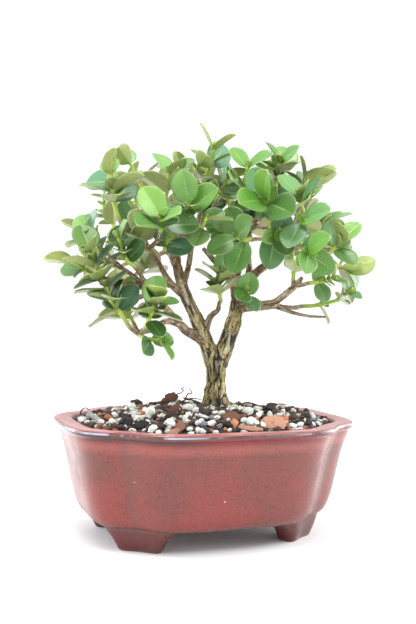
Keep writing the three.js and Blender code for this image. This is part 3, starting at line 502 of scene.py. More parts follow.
def into_scene(name, data):
    """An object at the origin that holds this mesh, camera or light."""
    made = bpy.data.objects.new(name, data)
    bpy.context.scene.collection.objects.link(made)
    return made


def finish_piece(name, mesh, material, nodes=(), sharp=None):
    """A piece that rides with the part, takes this finish and hides the parts of these nodes, which it
    replaces.
    """
    mesh.validate()
    mesh.shade_smooth()
    if sharp:
        mesh.set_sharp_from_angle(angle=math.radians(sharp))
    mesh.materials.append(material)
    made = into_scene(name, mesh)
    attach(made, "root")
    if nodes:
        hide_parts(*nodes)


def mesh_points(mesh):
    """The points of a mesh as an array."""
    flat = np.empty(len(mesh.vertices) * 3, np.float32)
    mesh.vertices.foreach_get("co", flat)
    return flat.reshape(-1, 3).astype(float)


def changed_by(mesh, *modifiers):
    """The mesh with these modifiers worked into it, each given as its kind and its settings."""
    holder = into_scene("holder", mesh)
    for kind, settings in modifiers:
        modifier = holder.modifiers.new(kind, kind)
        for key, value in settings.items():
            setattr(modifier, key, value)
    made = bpy.data.meshes.new_from_object(holder.evaluated_get(bpy.context.evaluated_depsgraph_get()))
    bpy.data.objects.remove(holder)
    return made


# The pot.


def oblong_reach(angle, half_length, half_depth, power):
    """A rounded oblong's reach: ((|cos a| / l)^p + (|sin a| / d)^p)^(-1 / p)."""
    c, s = np.abs(np.cos(angle)), np.abs(np.sin(angle))
    return ((c / half_length) ** power + (s / half_depth) ** power) ** (-1 / power)


def rim_radius(angle):
    """The larger of the pot's two oblongs, blended as the 16th root of the sum of their 16th powers."""
    long = oblong_reach(angle, POT_HALF_LENGTH, LONG_LOBE_HALF_WIDTH, LONG_LOBE_POWER)
    cross = oblong_reach(angle, CROSS_LOBE_HALF_WIDTH, POT_HALF_DEPTH, CROSS_LOBE_POWER)
    return (long**NOTCH_SHARPNESS + cross**NOTCH_SHARPNESS) ** (1 / NOTCH_SHARPNESS)


def outline(angle, inset, height, share=1.0):
    """The rim's outline drawn in by an inset on all its sides, at a height."""
    radius = rim_radius(angle) * share
    x = radius * np.cos(angle) * (POT_HALF_LENGTH - inset) / POT_HALF_LENGTH
    y = radius * np.sin(angle) * (POT_HALF_DEPTH - inset) / POT_HALF_DEPTH
    return np.stack(np.broadcast_arrays(x, y, height), -1)


def round_angles(to_notch=28, past_notch=40):
    """Angles all round that fall on the four notches."""
    quarter = np.concatenate([
        np.linspace(0, NOTCH_ANGLE, to_notch, endpoint=False),
        np.linspace(NOTCH_ANGLE, math.pi / 2, past_notch, endpoint=False),
    ])
    half = np.concatenate([quarter, [math.pi / 2], math.pi - quarter[:0:-1]])
    return np.concatenate([half, half + math.pi])


def foot(shell, middle):
    """A foot: at each height a rounded oblong. Its turn round the pot is the notch's, less half its width in
    degrees times c, and its inset is its middle's, less half its depth times d, where c and d are the square
    roots of |cos a| and |sin a| with the signs of cos a and sin a."""
    around = all_round(44)
    flat = np.sign(np.cos(around)) * np.abs(np.cos(around)) ** FOOT_SQUARENESS
    deep = np.sign(np.sin(around)) * np.abs(np.sin(around)) ** FOOT_SQUARENESS
    height, half_turn, outer, inner = chaikin(FOOT_PROFILE, 1)[::-1].T[..., None]
    turn = middle - np.radians(half_turn) * flat
    shell.add_tube(outline(turn, (outer + inner) / 2 - (inner - outer) / 2 * deep, height))


def bored_walls():
    """The pot's profile carried round its outline, with two drain holes cut in its floor."""
    profile = chaikin(POT_PROFILE, 1)
    walls, borers = Shell(), Shell()
    walls.add_tube(outline(round_angles(), profile[:, :1], profile[:, 1:]))
    around = all_round(40)
    for x in (-DRAIN_X, DRAIN_X):
        circle = np.stack([x + DRAIN_RADIUS * np.cos(around), DRAIN_RADIUS * np.sin(around), 0 * around], -1)
        borers.add_tube(np.stack([circle + [0, 0, z] for z in DRAIN_CUT]))
    cutter = into_scene("cutter", borers.mesh("cutter"))
    boring = {"object": cutter, "operation": "DIFFERENCE", "solver": "EXACT"}
    bored = changed_by(walls.mesh("walls"), ("BOOLEAN", boring))
    bpy.data.objects.remove(cutter)
    return bored


def mark_glaze_and_shade(mesh):
    """Where the colour changes: over the lip, on its face, near the rim, down the notches for their painted
    shade, and inside.
    """
    x, y, z = ((mesh_points(mesh) - POT_MIDDLE) / MM).T
    angle = np.arctan2(y, x)
    inset = POT_HALF_LENGTH * (1 - np.hypot(x, y) / rim_radius(angle))
    quarter = math.pi / 2
    off_notch = np.abs(np.abs(angle) - quarter) - (quarter - NOTCH_ANGLE)
    outside = np.array(POT_PROFILE)[WALL_POINTS]
    from_wall = inset - np.interp(z, outside[:, 1], outside[:, 0])
    give(mesh, "lip_top", rising(z, *LIP_TOP_HEIGHTS) * rising(inset, *LIP_TOP_INSETS))
    give(mesh, "lip_face", rising(inset, *LIP_FACE_INSETS) * (z > LIP_FACE_BOTTOM))
    give(mesh, "near_rim", rising(inset, *NEAR_RIM_INSETS) * (z > NEAR_RIM_BOTTOM))
    give(mesh, "notch", bell(off_notch, NOTCH_WIDTH))
    low, high = INSIDE_HEIGHTS
    give(mesh, "inside", rising(from_wall, *INSIDE_DEPTHS) * (z > low) * (z < high))


def make_pot(glaze):
    """The bored walls on four feet, one at each notch."""
    feet = Shell()
    for middle in (NOTCH_ANGLE, math.pi - NOTCH_ANGLE, math.pi + NOTCH_ANGLE, -NOTCH_ANGLE):
        foot(feet, middle)
    both = bmesh.new()
    both.from_mesh(bored_walls())
    both.from_mesh(feet.mesh("feet"))
    mesh = bpy.data.meshes.new("pot_glazed")
    both.to_mesh(mesh)
    both.free()
    mark_glaze_and_shade(mesh)
    finish_piece("pot_glazed", mesh, glaze, ["pot"], sharp=50)


# The soil.


def soil_height(share):
    """The soil's height: its edge's, raised by the mound times 1 - share^2.2."""
    return SOIL_EDGE_HEIGHT + SOIL_MOUND * (1 - np.clip(share, 0, 1) ** 2.2)


def soil_share(x, y):
    """How far out from the middle a place is, where 1 is at the pot's wall."""
    x = x * POT_HALF_LENGTH / (POT_HALF_LENGTH - SOIL_INSET)
    y = y * POT_HALF_DEPTH / (POT_HALF_DEPTH - SOIL_INSET)
    return np.hypot(x, y) / rim_radius(np.arctan2(y, x))


def make_peat():
    """The bed of the soil: height plus clouds, on rings from the wall to the middle, and closed below."""
    share = np.concatenate([[1, 1], np.linspace(1, 0.02, 58)])[:, None]
    points = outline(round_angles(14, 18), PEAT_INSET, soil_height(share), share)
    rough = clouds(points / 5.5, 3, 5) * 1.5 + clouds(points / 1.6, 2, 9) * 0.5
    points[..., 2] += rough * np.clip((1 - share) * 12, 0, 1) - 0.8
    points[0, :, 2] = PEAT_BOTTOM
    shell = Shell()
    shell.add_tube(points)
    finish_piece("peat", shell.mesh("peat"), grain_finish("peat"), ["soil"])


def ball(rows=5, columns=8):
    """A ball's points and faces: rings of sin and cos between two poles."""
    down = ((np.arange(rows) + 1) * math.pi / (rows + 1))[:, None]
    around = all_round(columns)
    level = np.broadcast_to(-np.cos(down), (rows, columns))
    shell = Shell()
    shell.add_tube(np.stack([np.sin(down) * np.cos(around), np.sin(down) * np.sin(around), level], -1))
    points = shell.points[0]
    points[-2:] = [[0, 0, -1], [0, 0, 1]]
    return points, shell.faces


def turn_about(axis, angle):
    """Turning matrices about the axis of this number, one for each angle."""
    after, last = (axis + 1) % 3, (axis + 2) % 3
    made = np.zeros((len(angle), 3, 3))
    made[:, axis, axis] = 1
    made[:, after, after] = made[:, last, last] = np.cos(angle)
    made[:, last, after] = np.sin(angle)
    made[:, after, last] = -np.sin(angle)
    return made


def turns(draw, count, tilt):
    """Turning matrices: any turn about the upright axis, and a tilt of up to so many degrees about level
    ones."""
    spin = draw.uniform(0, 2 * math.pi, count)
    lean = np.radians(draw.uniform(-tilt, tilt, count))
    roll = np.radians(draw.uniform(-tilt, tilt, count))
    return turn_about(2, spin) @ turn_about(0, lean) @ turn_about(1, roll)


CHIP_SPIN = 25


def leaning(draw, count, low, high):
    """Turning matrices for plates that face the viewer and lean back between two angles from upright."""
    lean = np.radians(draw.uniform(low, high, count))
    spin = np.radians(draw.uniform(-CHIP_SPIN, CHIP_SPIN, count))
    zero, one = np.zeros(count), np.ones(count)
    right = np.stack([one, zero, zero], -1)
    up = np.stack([zero, np.sin(lean), np.cos(lean)], -1)
    facing = np.stack([zero, -np.cos(lean), np.sin(lean)], -1)
    c, s = np.cos(spin)[:, None], np.sin(spin)[:, None]
    return np.stack([turned(right * c + up * s), turned(up * c - right * s), turned(facing)], -1)


LUMP_SIDES = 12


def lumps(shell, draw, places, sizes, turning, cut, rough, tones=None):
    """Loose lumps: each a ball whose reach is the least of cut / (direction . side) over sides drawn for it,
    made rough by noise, stretched to its size and turned."""
    points, faces = ball()
    count = len(places)
    sides = unit(draw.normal(size=(count, LUMP_SIDES, 3)))
    facing = np.einsum("pk,csk->cps", points, sides)
    flats = draw.uniform(cut, 1, (count, 1, LUMP_SIDES))
    reach = np.min(flats / np.maximum(facing, 0.2), axis=2)
    unevenness = noise(points[None] * 1.7 + draw.uniform(0, 99, (count, 1, 3)), 3)
    reach = np.minimum(reach, 1) * (1 + rough * unevenness)
    local = points[None] * reach[..., None] * sizes[:, None]
    made = np.einsum("cij,cpj->cpi", turning, local) + places[:, None]
    start = np.arange(count)[:, None, None] * len(points)
    everywhere = [(group[None] + start).reshape(-1, group.shape[1]) for group in faces]
    tones = draw.uniform(0, 1, count) if tones is None else tones
    shell.add(made, everywhere, tone=np.repeat(tones, len(points)))


def soil_places(draw, spacing, margin):
    """Places on a shaken grid over the soil, clear of the pot's wall and of the trunk."""
    long, deep = SOIL_HALF_LENGTH, SOIL_HALF_DEPTH
    x, y = np.meshgrid(np.arange(-long, long, spacing), np.arange(-deep, deep, spacing))
    x = (x + draw.uniform(-0.45, 0.45, x.shape) * spacing).ravel()
    y = (y + draw.uniform(-0.45, 0.45, y.shape) * spacing).ravel()
    share = soil_share(x * (1 + margin / long), y * (1 + margin / deep))
    foot_x, foot_y, _ = turned(TRUNK_FOOT)
    free = (share < 1) & (np.hypot(x - foot_x, y - foot_y) > TRUNK_CLEARANCE)
    x, y = x[free], y[free]
    return np.stack([x, y, soil_height(soil_share(x, y))], -1)


def on_soil(rows):
    """Places as the viewer faces them, each so far above the soil."""
    points = turned(np.array(rows)[:, :3])
    points[:, 2] += soil_height(soil_share(points[:, 0], points[:, 1]))
    return points


# What stands out on the soil, as the viewer faces it: x, y, height above the soil, width, height and tone.
WHITE_GRAINS = np.array([
    [-49.3, 1.5, 1.8, 6.9, 5.7, 0.35], [-21.2, 25.5, 2.4, 6.5, 5.6, 0.45], [-24.1, 10, 1.1, 4.6, 3.5, 0.4],
    [-34.4, -31.5, 2.7, 6.2, 8.1, 0.2], [-28.6, -37, 0.9, 4.8, 2.7, 0.3], [-46.3, -19.5, 0.7, 6.1, 2.2, 0.3],
    [-32.5, 12.5, 0.7, 3.5, 2.3, 0.3], [-62.5, 0.5, 0.7, 4.6, 2.3, 0.3], [-60, 29.5, 1.2, 3.6, 1.8, 0.4],
    [-58.4, -24.5, 1.2, 4.1, 3.6, 0.5], [-82.4, -16, 1.1, 6.1, 3.3, 0.2], [-81.8, -17.5, 0.6, 5.5, 4.4, 0.1],
    [-77, -30, 0.6, 3.8, 2.7, 0.1], [-66.5, -42, 1.2, 4.2, 3.7, 0.3], [-57.7, -44, 0.9, 3.7, 2.6, 0.4],
    [-44.7, -63, 0.6, 5.6, 3.6, 0.3], [-36.6, -64.5, 0.7, 3.6, 2, 0.4], [-31.3, -66.5, 1.7, 5.6, 4.6, 0.05],
    [-32.9, -68, 0.6, 4.1, 1.5, 0.1], [-27.2, -70.5, 0.8, 4, 3, 0.2], [-22.1, -69.5, 0.8, 4, 2.5, 0.3],
    [-21.3, -59, 2, 6.7, 5.7, 0.05], [-10.6, -15, 1.8, 6.7, 5.6, 0.15], [-5.4, -22, 1.6, 4.4, 4.9, 0.3],
    [-6.8, 31, 2.1, 6.6, 4.2, 0.25], [-10.1, -36, 1.5, 4.3, 4.3, 0.35], [-9.8, -48.5, 0.7, 3.2, 2.1, 0.2],
    [-16.6, -5, 1.3, 2.8, 4, 0.3], [-3.3, -53, 1.5, 4.2, 4.2, 0.2], [-7.9, -70, 0.6, 4.5, 2.5, 0.1],
    [-3.1, -66.5, 1.4, 3.1, 4.1, 0.2], [-8.3, -64.5, 1, 3.6, 2.6, 0.3], [-14.9, -38.5, 0.7, 2.7, 2.1, 0.3],
    [0.2, -21, 1.1, 4.4, 3.3, 0.1], [0.3, -37.5, 0.9, 6.4, 2.7, 0.2], [-1.3, -45.5, 0.9, 3.2, 2.6, 0.1],
    [6.9, -26.5, 0.9, 4.9, 2.7, 0.45], [11.9, -25, 1.1, 5.5, 3.3, 0.35], [8.4, -38, 1.1, 4.8, 3.2, 0.1],
    [4.6, -52.5, 1.4, 6.8, 4.2, 0.15], [-1, -67, 1.6, 4.6, 4.1, 0.3], [8, -65, 0.7, 4.1, 2.5, 0.05],
    [16.7, -58.5, 0.7, 3.1, 2.1, 0.4], [19.9, -15, 1.5, 3.9, 4.4, 0.4], [24.7, -6.5, 1.1, 4.5, 3.4, 0.45],
    [30.5, -18.5, 1.8, 7.2, 5.5, 0.3], [37.9, 3.5, 1.1, 6.9, 3.4, 0.2], [26.3, -41, 1.3, 3.7, 3.7, 0.45],
    [30.5, -43, 2.4, 5.8, 6.9, 0.05], [38.9, -10.5, 1.1, 3.4, 3.4, 0.2], [36.2, -27, 1.5, 4.4, 4.4, 0.1],
    [25.2, -58.5, 0.6, 5.7, 1.5, 0.05], [70.2, 15.5, 0.9, 5.8, 2.9, 0.25], [75.3, -1.5, 1.8, 2.8, 5.7, 0.15],
    [58.7, -36.5, 1, 4.3, 2.7, 0.1], [63.3, -33.5, 1.3, 4.9, 3.8, 0.1], [73.1, -21, 0.6, 5, 4.4, 0.2],
    [77.9, -14, 0.6, 5, 3.3, 0.3], [80.2, -4, 0.7, 5.1, 2.3, 0.2], [83.8, -3, 1.1, 2.8, 3.4, 0.1],
    [60.4, -41.5, 0.6, 8, 1.6, 0.05], [58.1, 46, 3.1, 5.5, 1.8, 0.2], [68.5, -16, 1.1, 2.2, 3.3, 0.3],
])
GREY_GRAINS = np.array([
    [-71.6, -23.5, 1.3, 8.2, 3.8, 0.3], [-82.4, 6.5, 1.7, 4.6, 2.9, 0.9], [57.1, -10.5, 0.8, 6.7, 2.2, 0.1],
    [-0.1, -55.5, 1.5, 4.7, 4.1, 0.8], [9.9, -57, 1.4, 4.1, 4.1, 0.8], [5.2, -38.5, 1, 4.3, 2.7, 0.8],
    [42.4, -51.5, 0.7, 4.2, 2.6, 0.9], [75.1, -8.5, 1, 4.5, 2.8, 0.7], [-33.2, -49, 0.9, 7.3, 2.6, 0.9],
    [-66.7, 7.5, 2.6, 5.2, 2.3, 0.9],
])
BROWN_CHIPS = np.array([
    [-23, 24, 6.4, 8.9, 6.5, 0.1], [-27.8, 24, 4.4, 4.7, 3.6, 0.2], [-38, 25.5, 2, 13.1, 3, 0.35],
    [-58.2, -1.5, 0.7, 6.3, 2.3, 0.2], [-19.4, -21, 2, 7.7, 6.1, 0.15], [-14.6, -64, 3, 5.1, 8.7, 0.3],
    [-16.9, -71, 1.5, 7.6, 4, 0.7], [-61, -57, 1, 6.2, 3.1, 0.2], [-10.4, 28.5, 4, 9.5, 2, 0],
    [29, 12, 0.9, 5.2, 2.9, 0.3], [17.2, -35, 2, 9.7, 5.9, 0.25], [44.5, -43.5, 3.6, 15.9, 10.6, 1],
    [30.5, -55.5, 1.6, 14, 4.4, 0.75], [25.1, -28.5, 0.9, 5.4, 2.7, 0.3], [60.2, 17.5, 1.1, 4.1, 3.5, 0.4],
    [49.8, -24, 1.5, 4.9, 4.4, 0.7], [55.3, -43, 1.7, 2.1, 4.8, 0.5], [82.7, -7, 1.1, 3.4, 3.4, 0.1],
    [5.2, -63.5, 0.8, 5.1, 2.6, 0.4], [58.4, 45.5, 4.5, 6.7, 1.3, 0.9],
    [-25.5, 25, 2.7, 7, 5, 0.15], [-19.8, 25.5, 2.6, 6.5, 4.4, 0.25], [-30.5, 25, 1.9, 6, 3.4, 0.1],
])
ORANGE_CHIPS = np.array([
    [-64.2, -25, 1.3, 7.7, 3.8, 0.2], [-71.4, -11, 0.7, 6.7, 2, 0.3], [-40.2, -27, 1.4, 3.5, 4.4, 0.3],
    [-48.1, -40.5, 0.6, 3.2, 1.3, 0.3], [-55.1, -60.5, 0.6, 4.6, 1.3, 0.2], [-52.1, -52, 0.6, 1.6, 1.6, 0.3],
    [-14.2, -27, 0.9, 2.2, 2.7, 0.3], [-77, -30, 0.6, 2.4, 0.9, 0.2], [20.4, -49, 2.3, 3.7, 6.8, 0.7],
    [13.6, -58.5, 0.8, 3.6, 2.6, 0.2], [54.8, -23.5, 1.1, 4.9, 3.3, 0.3], [56.4, -25.5, 0.6, 6, 1.3, 0.5],
    [68.1, -30.5, 0.6, 2.7, 1.2, 0.6],
])
DARK_CRUMBS = np.array([
    [-49, 27, 3.9, 10.1, 4.2, 0.2], [-77.2, 7, 1.4, 4.6, 4, 0.1], [-73.1, 7, 1.9, 4.6, 2.9, 0.5],
    [-53.7, -19, 1.1, 5, 3.3, 0.5], [-42.3, 9.5, 1.1, 4.6, 3.5, 0.5], [-29.2, -16, 1.5, 6.7, 4.4, 0.5],
    [-21.4, -38.5, 1.4, 8.5, 4.3, 0.3], [-48.9, -52, 2.2, 8.3, 6.3, 0.1], [-39.1, -56, 1.8, 9.3, 5.2, 0],
    [-51.1, -61.5, 1.4, 5.1, 4.1, 0.2], [-56.6, -59, 1.8, 6.2, 5.2, 0.8], [-27.1, -63, 1.8, 7.2, 5.1, 0.6],
    [-8.5, -56, 1.1, 6.2, 3.1, 0.1], [-48.6, -31.5, 1.1, 6.5, 3.2, 0.3], [-71, -45, 1, 5.3, 5.3, 0.7],
    [34.9, 36, 1.1, 5.4, 3.6, 0.1], [23, 11, 0.6, 3.5, 1.7, 0.2], [45.5, 3, 1.7, 8.6, 5.2, 0.1],
    [49.5, 43, 2.6, 9.8, 3, 0.5], [58, 20, 1.5, 10.6, 4.7, 0.3], [49.3, -8.5, 1.1, 5.6, 3.4, 0.2],
    [68.8, 49, 2, 3.7, 3.7, 0.2], [61.3, -14, 1.5, 6.7, 4.5, 0.6], [75.3, 34.5, 2.8, 4.8, 6, 0.4],
    [71.6, -3.5, 1.5, 5.1, 4.5, 0.2], [65.9, -25, 1.5, 3.8, 4.4, 0], [70, -23, 1.5, 3.8, 4.4, 0.3],
    [14.2, -51.5, 1.5, 7.8, 4.2, 0.1], [20.4, -59.5, 1, 6.2, 2.6, 0.3], [39, -27, 1.2, 2.7, 3.8, 0],
    [39.1, -53, 1.2, 2.6, 3.1, 0.1], [1.5, -65, 1.5, 4.1, 4.1, 0.3],
])
# Curled rootlets: their routes over the soil, with heights above it.
ROOTLETS = [
    [[-22, 22, 3], [-19, 22, 6], [-20, 21, 8], [-17, 21, 9], [-15, 22, 11], [-17, 22, 12], [-15, 23, 13]],
    [[-14, 22, 4], [-12, 23, 8], [-9, 23, 9], [-11, 22, 12]],
    [[-86, 2, 2], [-85, 0, 5], [-82, -1, 6], [-79, -2, 4]],
    [[-16, 21, 3], [-9, 20, 5], [-2, 22, 4]],
    [[24, 10, 2], [31, 12, 4], [38, 11, 3], [44, 14, 2]],
]


# Each loose kind: its piece, its finish, what stands out of it and what is strewn of it.
# Standing: rows, greatest half depth, lean from upright in degrees, deepest cut and roughness.
# Strewn: shares of the places, half lengths, shape, tilt, deepest cut and roughness.
CHIP_GROWTH = [1, 1, 1, 1.22, 1.22, 1]
LOOSE_KINDS = [
    ["perlite", "perlite", [WHITE_GRAINS, 9, [0, 30], 0.5, 0.2],
     [[[0.75, 9], [1.6, 4.2], [1, 0.88, 0.8], 90, 0.44, 0.2]]],
    ["pumice", "pumice", [GREY_GRAINS, 9, [0, 30], 0.52, 0.2],
     [[[0.69, 0.75], [1.5, 3.6], [1, 0.9, 0.8], 90, 0.5, 0.2]]],
    ["dark_crumbs", "dark_crumb", [DARK_CRUMBS, 9, [10, 50], 0.5, 0.34],
     [[[-9, 0.38], [2, 4.8], [1, 0.8, 0.7], 60, 0.42, 0.4]]],
    ["bark_chips", "bark_chip", [BROWN_CHIPS * CHIP_GROWTH, 0.8, [22, 48], 0.36, 0.06],
     [[[0.38, 0.55], [2.6, 6.5], [1, 0.56, 0.24], 28, 0.42, 0.14],
      [[0.55, 0.64], [3, 8], [1, 0.13, 0.1], 16, 0.5, 0.1]]],
    ["orange_chips", "orange_chip", [ORANGE_CHIPS, 0.8, [15, 45], 0.4, 0.08],
     [[[0.64, 0.69], [1.8, 4.4], [1, 0.45, 0.3], 45, 0.4, 0.12]]],
]
STANDING_GROWTH = 1.28
GRAIN_SPACING = 3.9
GRAIN_MARGIN = 3
STANDING_CLEARANCE = 3.4
EDGE_SHARPNESS = 38
KIND_DRIFT = 0.22
DRIFT_SPAN = 22
ROOTLET_RADII = [0.6, 0.3]


def make_grains():
    """Everything loose on the bed of the soil, kind by kind: first what stands out, then what lies about."""
    draw = np.random.default_rng(7)
    places = soil_places(draw, GRAIN_SPACING, GRAIN_MARGIN)
    seen = turned(np.vstack([standing[0] for _, _, standing, _ in LOOSE_KINDS])[:, :3])
    apart = np.linalg.norm(places[:, None, :2] - seen[None, :, :2], axis=2).min(1)
    places = places[apart > STANDING_CLEARANCE]
    kind = draw.uniform(0, 1, len(places)) + KIND_DRIFT * clouds(places / DRIFT_SPAN, 2, 4)
    bulk = draw.uniform(0, 1, len(places))
    for piece, finish_name, (rows, thickness, lean, cut, rough), strewn in LOOSE_KINDS:
        shell = Shell()
        half = rows[:, 3:5] / 2
        deep = np.minimum(half.mean(1), thickness)[:, None]
        sizes = np.hstack([half * STANDING_GROWTH, deep])
        lumps(shell, draw, on_soil(rows), sizes, leaning(draw, len(rows), *lean), cut, rough, rows[:, 5])
        for shares, lengths, shape, tilt, cut, rough in strewn:
            chosen = (kind >= shares[0]) & (kind < shares[1])
            sizes = between(lengths, bulk[chosen] ** 1.6)
            spots = places[chosen].copy()
            spots[:, 2] += sizes * shape[2] * draw.uniform(-0.3, 0.4, len(sizes))
            turning = turns(draw, len(sizes), tilt)
            lumps(shell, draw, spots, sizes[:, None] * shape, turning, cut, rough)
        finish_piece(piece, shell.mesh(piece), grain_finish(finish_name), sharp=EDGE_SHARPNESS)


def make_rootlets():
    """Curled threads that thin out along their routes."""
    threads = Shell()
    for route in ROOTLETS:
        axes = Route(on_soil(route)).axes(np.linspace(0, 1, 24))
        threads.add_tube(tube(axes, np.linspace(*ROOTLET_RADII, 24)[:, None], 6))
    finish_piece("rootlets", threads.mesh("rootlets"), grain_finish("rootlet"))


# The wood.


def shoot_curve(shoot):
    """A shoot's curve, and the share of it that is brown twig."""
    wooden, green, *_ = shoot
    return Route(wooden + green), (len(wooden) - 1) / (len(wooden) + len(green) - 1)


def wood_tubes():
    """Every bough and twig as its axes and its radii, at about one station a millimetre."""
    foot_x, foot_y, foot_z = TRUNK_FOOT
    root = Route([[foot_x, foot_y, foot_z + above] for above in (-ROOT_DEPTH, -14, 2)])
    stations = np.linspace(0, 1, 30)
    made = [(root.axes(stations), between([ROOT_TIP_RADIUS, ROOT_TOP_RADIUS], stations))]
    for start, end, route in BOUGHS:
        curve = Route(route)
        stations = np.linspace(0, 1, max(8, int(curve.length())))
        made.append((curve.axes(stations), between([start, end], stations)))
    for shoot in SHOOTS:
        curve, split = shoot_curve(shoot)
        stations = np.linspace(0, split, max(8, int(curve.length() * split)))
        made.append((curve.axes(stations), between(TWIG_RADII, stations / split)))
    return made


# Bark: how far its pattern runs along the wood, its furrows' widths, and where the trunk starts to flare.
BARK_RUN = 15
FURROW_WIDTH = 0.17
CRACK_WIDTH = 0.12
FLARE_HEIGHTS = [98, 86]
RUN_APART = 37
AT_ONCE = 4000


def nearest_wood(points, tubes):
    """For each point, of all the tubes' stations, the one whose surface is nearest: distance less radius. It
    gives the wood's radius there, the angle round it and the run along it."""
    middle, along, across, other = (np.concatenate([axes[i] for axes, _ in tubes]) for i in range(4))
    radius = np.concatenate([radii for _, radii in tubes])
    steps = [np.linalg.norm(np.diff(axes[0], axis=0), axis=1) for axes, _ in tubes]
    run = np.concatenate([np.r_[0, np.cumsum(step)] + RUN_APART * i for i, step in enumerate(steps)])
    chosen = np.empty(len(points), int)
    for first in range(0, len(points), AT_ONCE):
        part = points[first : first + AT_ONCE]
        squares = (part**2).sum(1)[:, None] + (middle**2).sum(1)[None] - 2 * part @ middle.T
        chosen[first : first + AT_ONCE] = (np.sqrt(np.maximum(squares, 0)) - radius).argmin(1)
    step = points - middle[chosen]
    angle = np.arctan2((step * other[chosen]).sum(1), (step * across[chosen]).sum(1))
    return radius[chosen], angle, run[chosen] + (step * along[chosen]).sum(1)


def wood_skin(tubes):
    """One skin over all the tubes, whose points are five times drawn halfway to the middle of their
    neighbours."""
    shell = Shell()
    for axes, radii in tubes:
        thick = radii * (1 + 0.05 * noise(axes[0] / 7, 2))
        shell.add_tube(tube(axes, thick[:, None], 12))
    mesh = changed_by(shell.mesh("wood"), ("REMESH", {"mode": "VOXEL", "voxel_size": WOOD_GRAIN * MM}))
    points = (mesh_points(mesh) - POT_MIDDLE) / MM
    edges = np.empty(len(mesh.edges) * 2, np.int32)
    mesh.edges.foreach_get("vertices", edges)
    here, there = np.vstack([edges.reshape(-1, 2), edges.reshape(-1, 2)[:, ::-1]]).T
    degree = np.bincount(here, minlength=len(points))[:, None]
    for _ in range(5):
        total = np.stack([np.bincount(here, points[there, k], len(points)) for k in range(3)], -1)
        points = points * 0.5 + 0.5 * total / degree
    return mesh, points


def bark_relief(points, radius, angle, run):
    """Where the bark's noise is read, its ridges, its furrows, and how far the bark stands out. The noise is
    read at (w cos a, w sin a, run / 15), where a is the angle round the nearest bough, and w grows with its
    radius. A furrow, exp(-(n / 0.17)^2), runs wherever the noise n passes nought, so furrows are long and
    upright."""
    round_bough = np.stack([np.cos(angle), np.sin(angle), 0 * angle], -1)
    place = round_bough * np.clip(radius / 2.7, 0.8, 3.3)[:, None] + run[:, None] / BARK_RUN * [0, 0, 1]
    bent = place + 0.22 * noise(place * [1.5, 1.5, 3], 8)[:, None]
    ridge = 0.6 * noise(bent * 0.55, 5) + 0.5 * clouds(bent * 2.3, 2, 12)
    crack = 0.5 * bell(noise(bent * [2.6, 2.6, 4], 27), CRACK_WIDTH)
    furrow = np.maximum(bell(noise(bent * 1.25, 21), FURROW_WIDTH), crack)
    knots = np.clip(noise(points / 6, 31) - 0.35, 0, 1) * 1.6
    height = (0.35 + 0.5 * ridge - 1.25 * furrow) * np.clip(radius / 6.5, 0.2, 1.1)
    height = height + knots * np.clip(radius / 6, 0.2, 1) * 0.7 + 0.6 * rising(radius, 6, 9)
    flare = rising(points[:, 2], *FLARE_HEIGHTS) ** 2 * (points[:, 2] > SOIL_EDGE_HEIGHT)
    height = height + flare * (0.5 + 1.1 * noise(2 * round_bough, 40))
    return place, ridge, furrow, height


def make_wood(bark):
    """All the wood as one skin over its tubes, moved along its normals by the relief of its bark."""
    tubes = wood_tubes()
    mesh, points = wood_skin(tubes)
    radius, angle, run = nearest_wood(points, tubes)
    place, ridge, furrow, height = bark_relief(points, radius, angle, run)
    placed = turned(points)
    mesh.vertices.foreach_set("co", on_pot(placed).astype(np.float32).ravel())
    mesh.update()
    normals = np.empty(len(points) * 3, np.float32)
    mesh.vertices.foreach_get("normal", normals)
    placed = placed + normals.reshape(-1, 3) * height[:, None]
    mesh.vertices.foreach_set("co", on_pot(placed).astype(np.float32).ravel())
    give(mesh, "bark_place", place)
    give(mesh, "furrow", furrow)
    give(mesh, "ridge", ridge)
    give(mesh, "thickness", radius / 9)
    give(mesh, "height", (points[:, 2] - 80) / 120)
    finish_piece("wood", mesh, bark, ["trunk"])


# The shoots.


def shoot_axes(shoot):
    """A shoot's curve, the share of it that is twig, the stations of its leaf pairs, and its axes at the
    start of its green end and at each pair."""
    pairs = shoot[2]
    curve, split = shoot_curve(shoot)
    gap = CLEARANCE / 2 / curve.length()
    from_tip = [(pairs - 1 - i) * LEAFY_SHARE / pairs for i in range(pairs)]
    stations = [split + (1 - split) * (1 - share) for share in from_tip]
    return curve, split, stations, curve.axes(np.array([split + gap] + stations))


def blade_place(leaf, share, across):
    """A point of a flat blade: base + share l ahead + across h aside + |across| h fold face."""
    share, across = np.broadcast_arrays(share, across)
    half = leaf["half"]
    return (
        leaf["base"]
        + leaf["ahead"] * (share * leaf["length"])[..., None]
        + leaf["aside"] * (across * half)[..., None]
        + leaf["face"] * (np.abs(across) * half * leaf["fold"])[..., None]
    )


def turned_leaf(axes, pair, turn, opening, length, habit, roll, side):
    """A leaf's place: out = cos t across + sin t other, ahead = cos o along + side sin o out, and its face is
    the part of along that is square to ahead, drawn towards the light and rolled about ahead."""
    middle, along, across, other = (part[pair + 1] for part in axes)
    out = across * math.cos(turn) + other * math.sin(turn)
    ahead = unit(along * math.cos(opening) + out * side * math.sin(opening))
    face = unit(along - ahead * (along @ ahead)) + LIGHT * habit["lift"]
    face = unit(face - ahead * (face @ ahead))
    face = unit(face * math.cos(roll) + np.cross(face, ahead) * math.sin(roll))
    return dict(
        base=middle, ahead=ahead, aside=np.cross(face, ahead), face=face, length=length,
        half=length * habit["ratio"] / 2, fold=habit["fold"],
    )


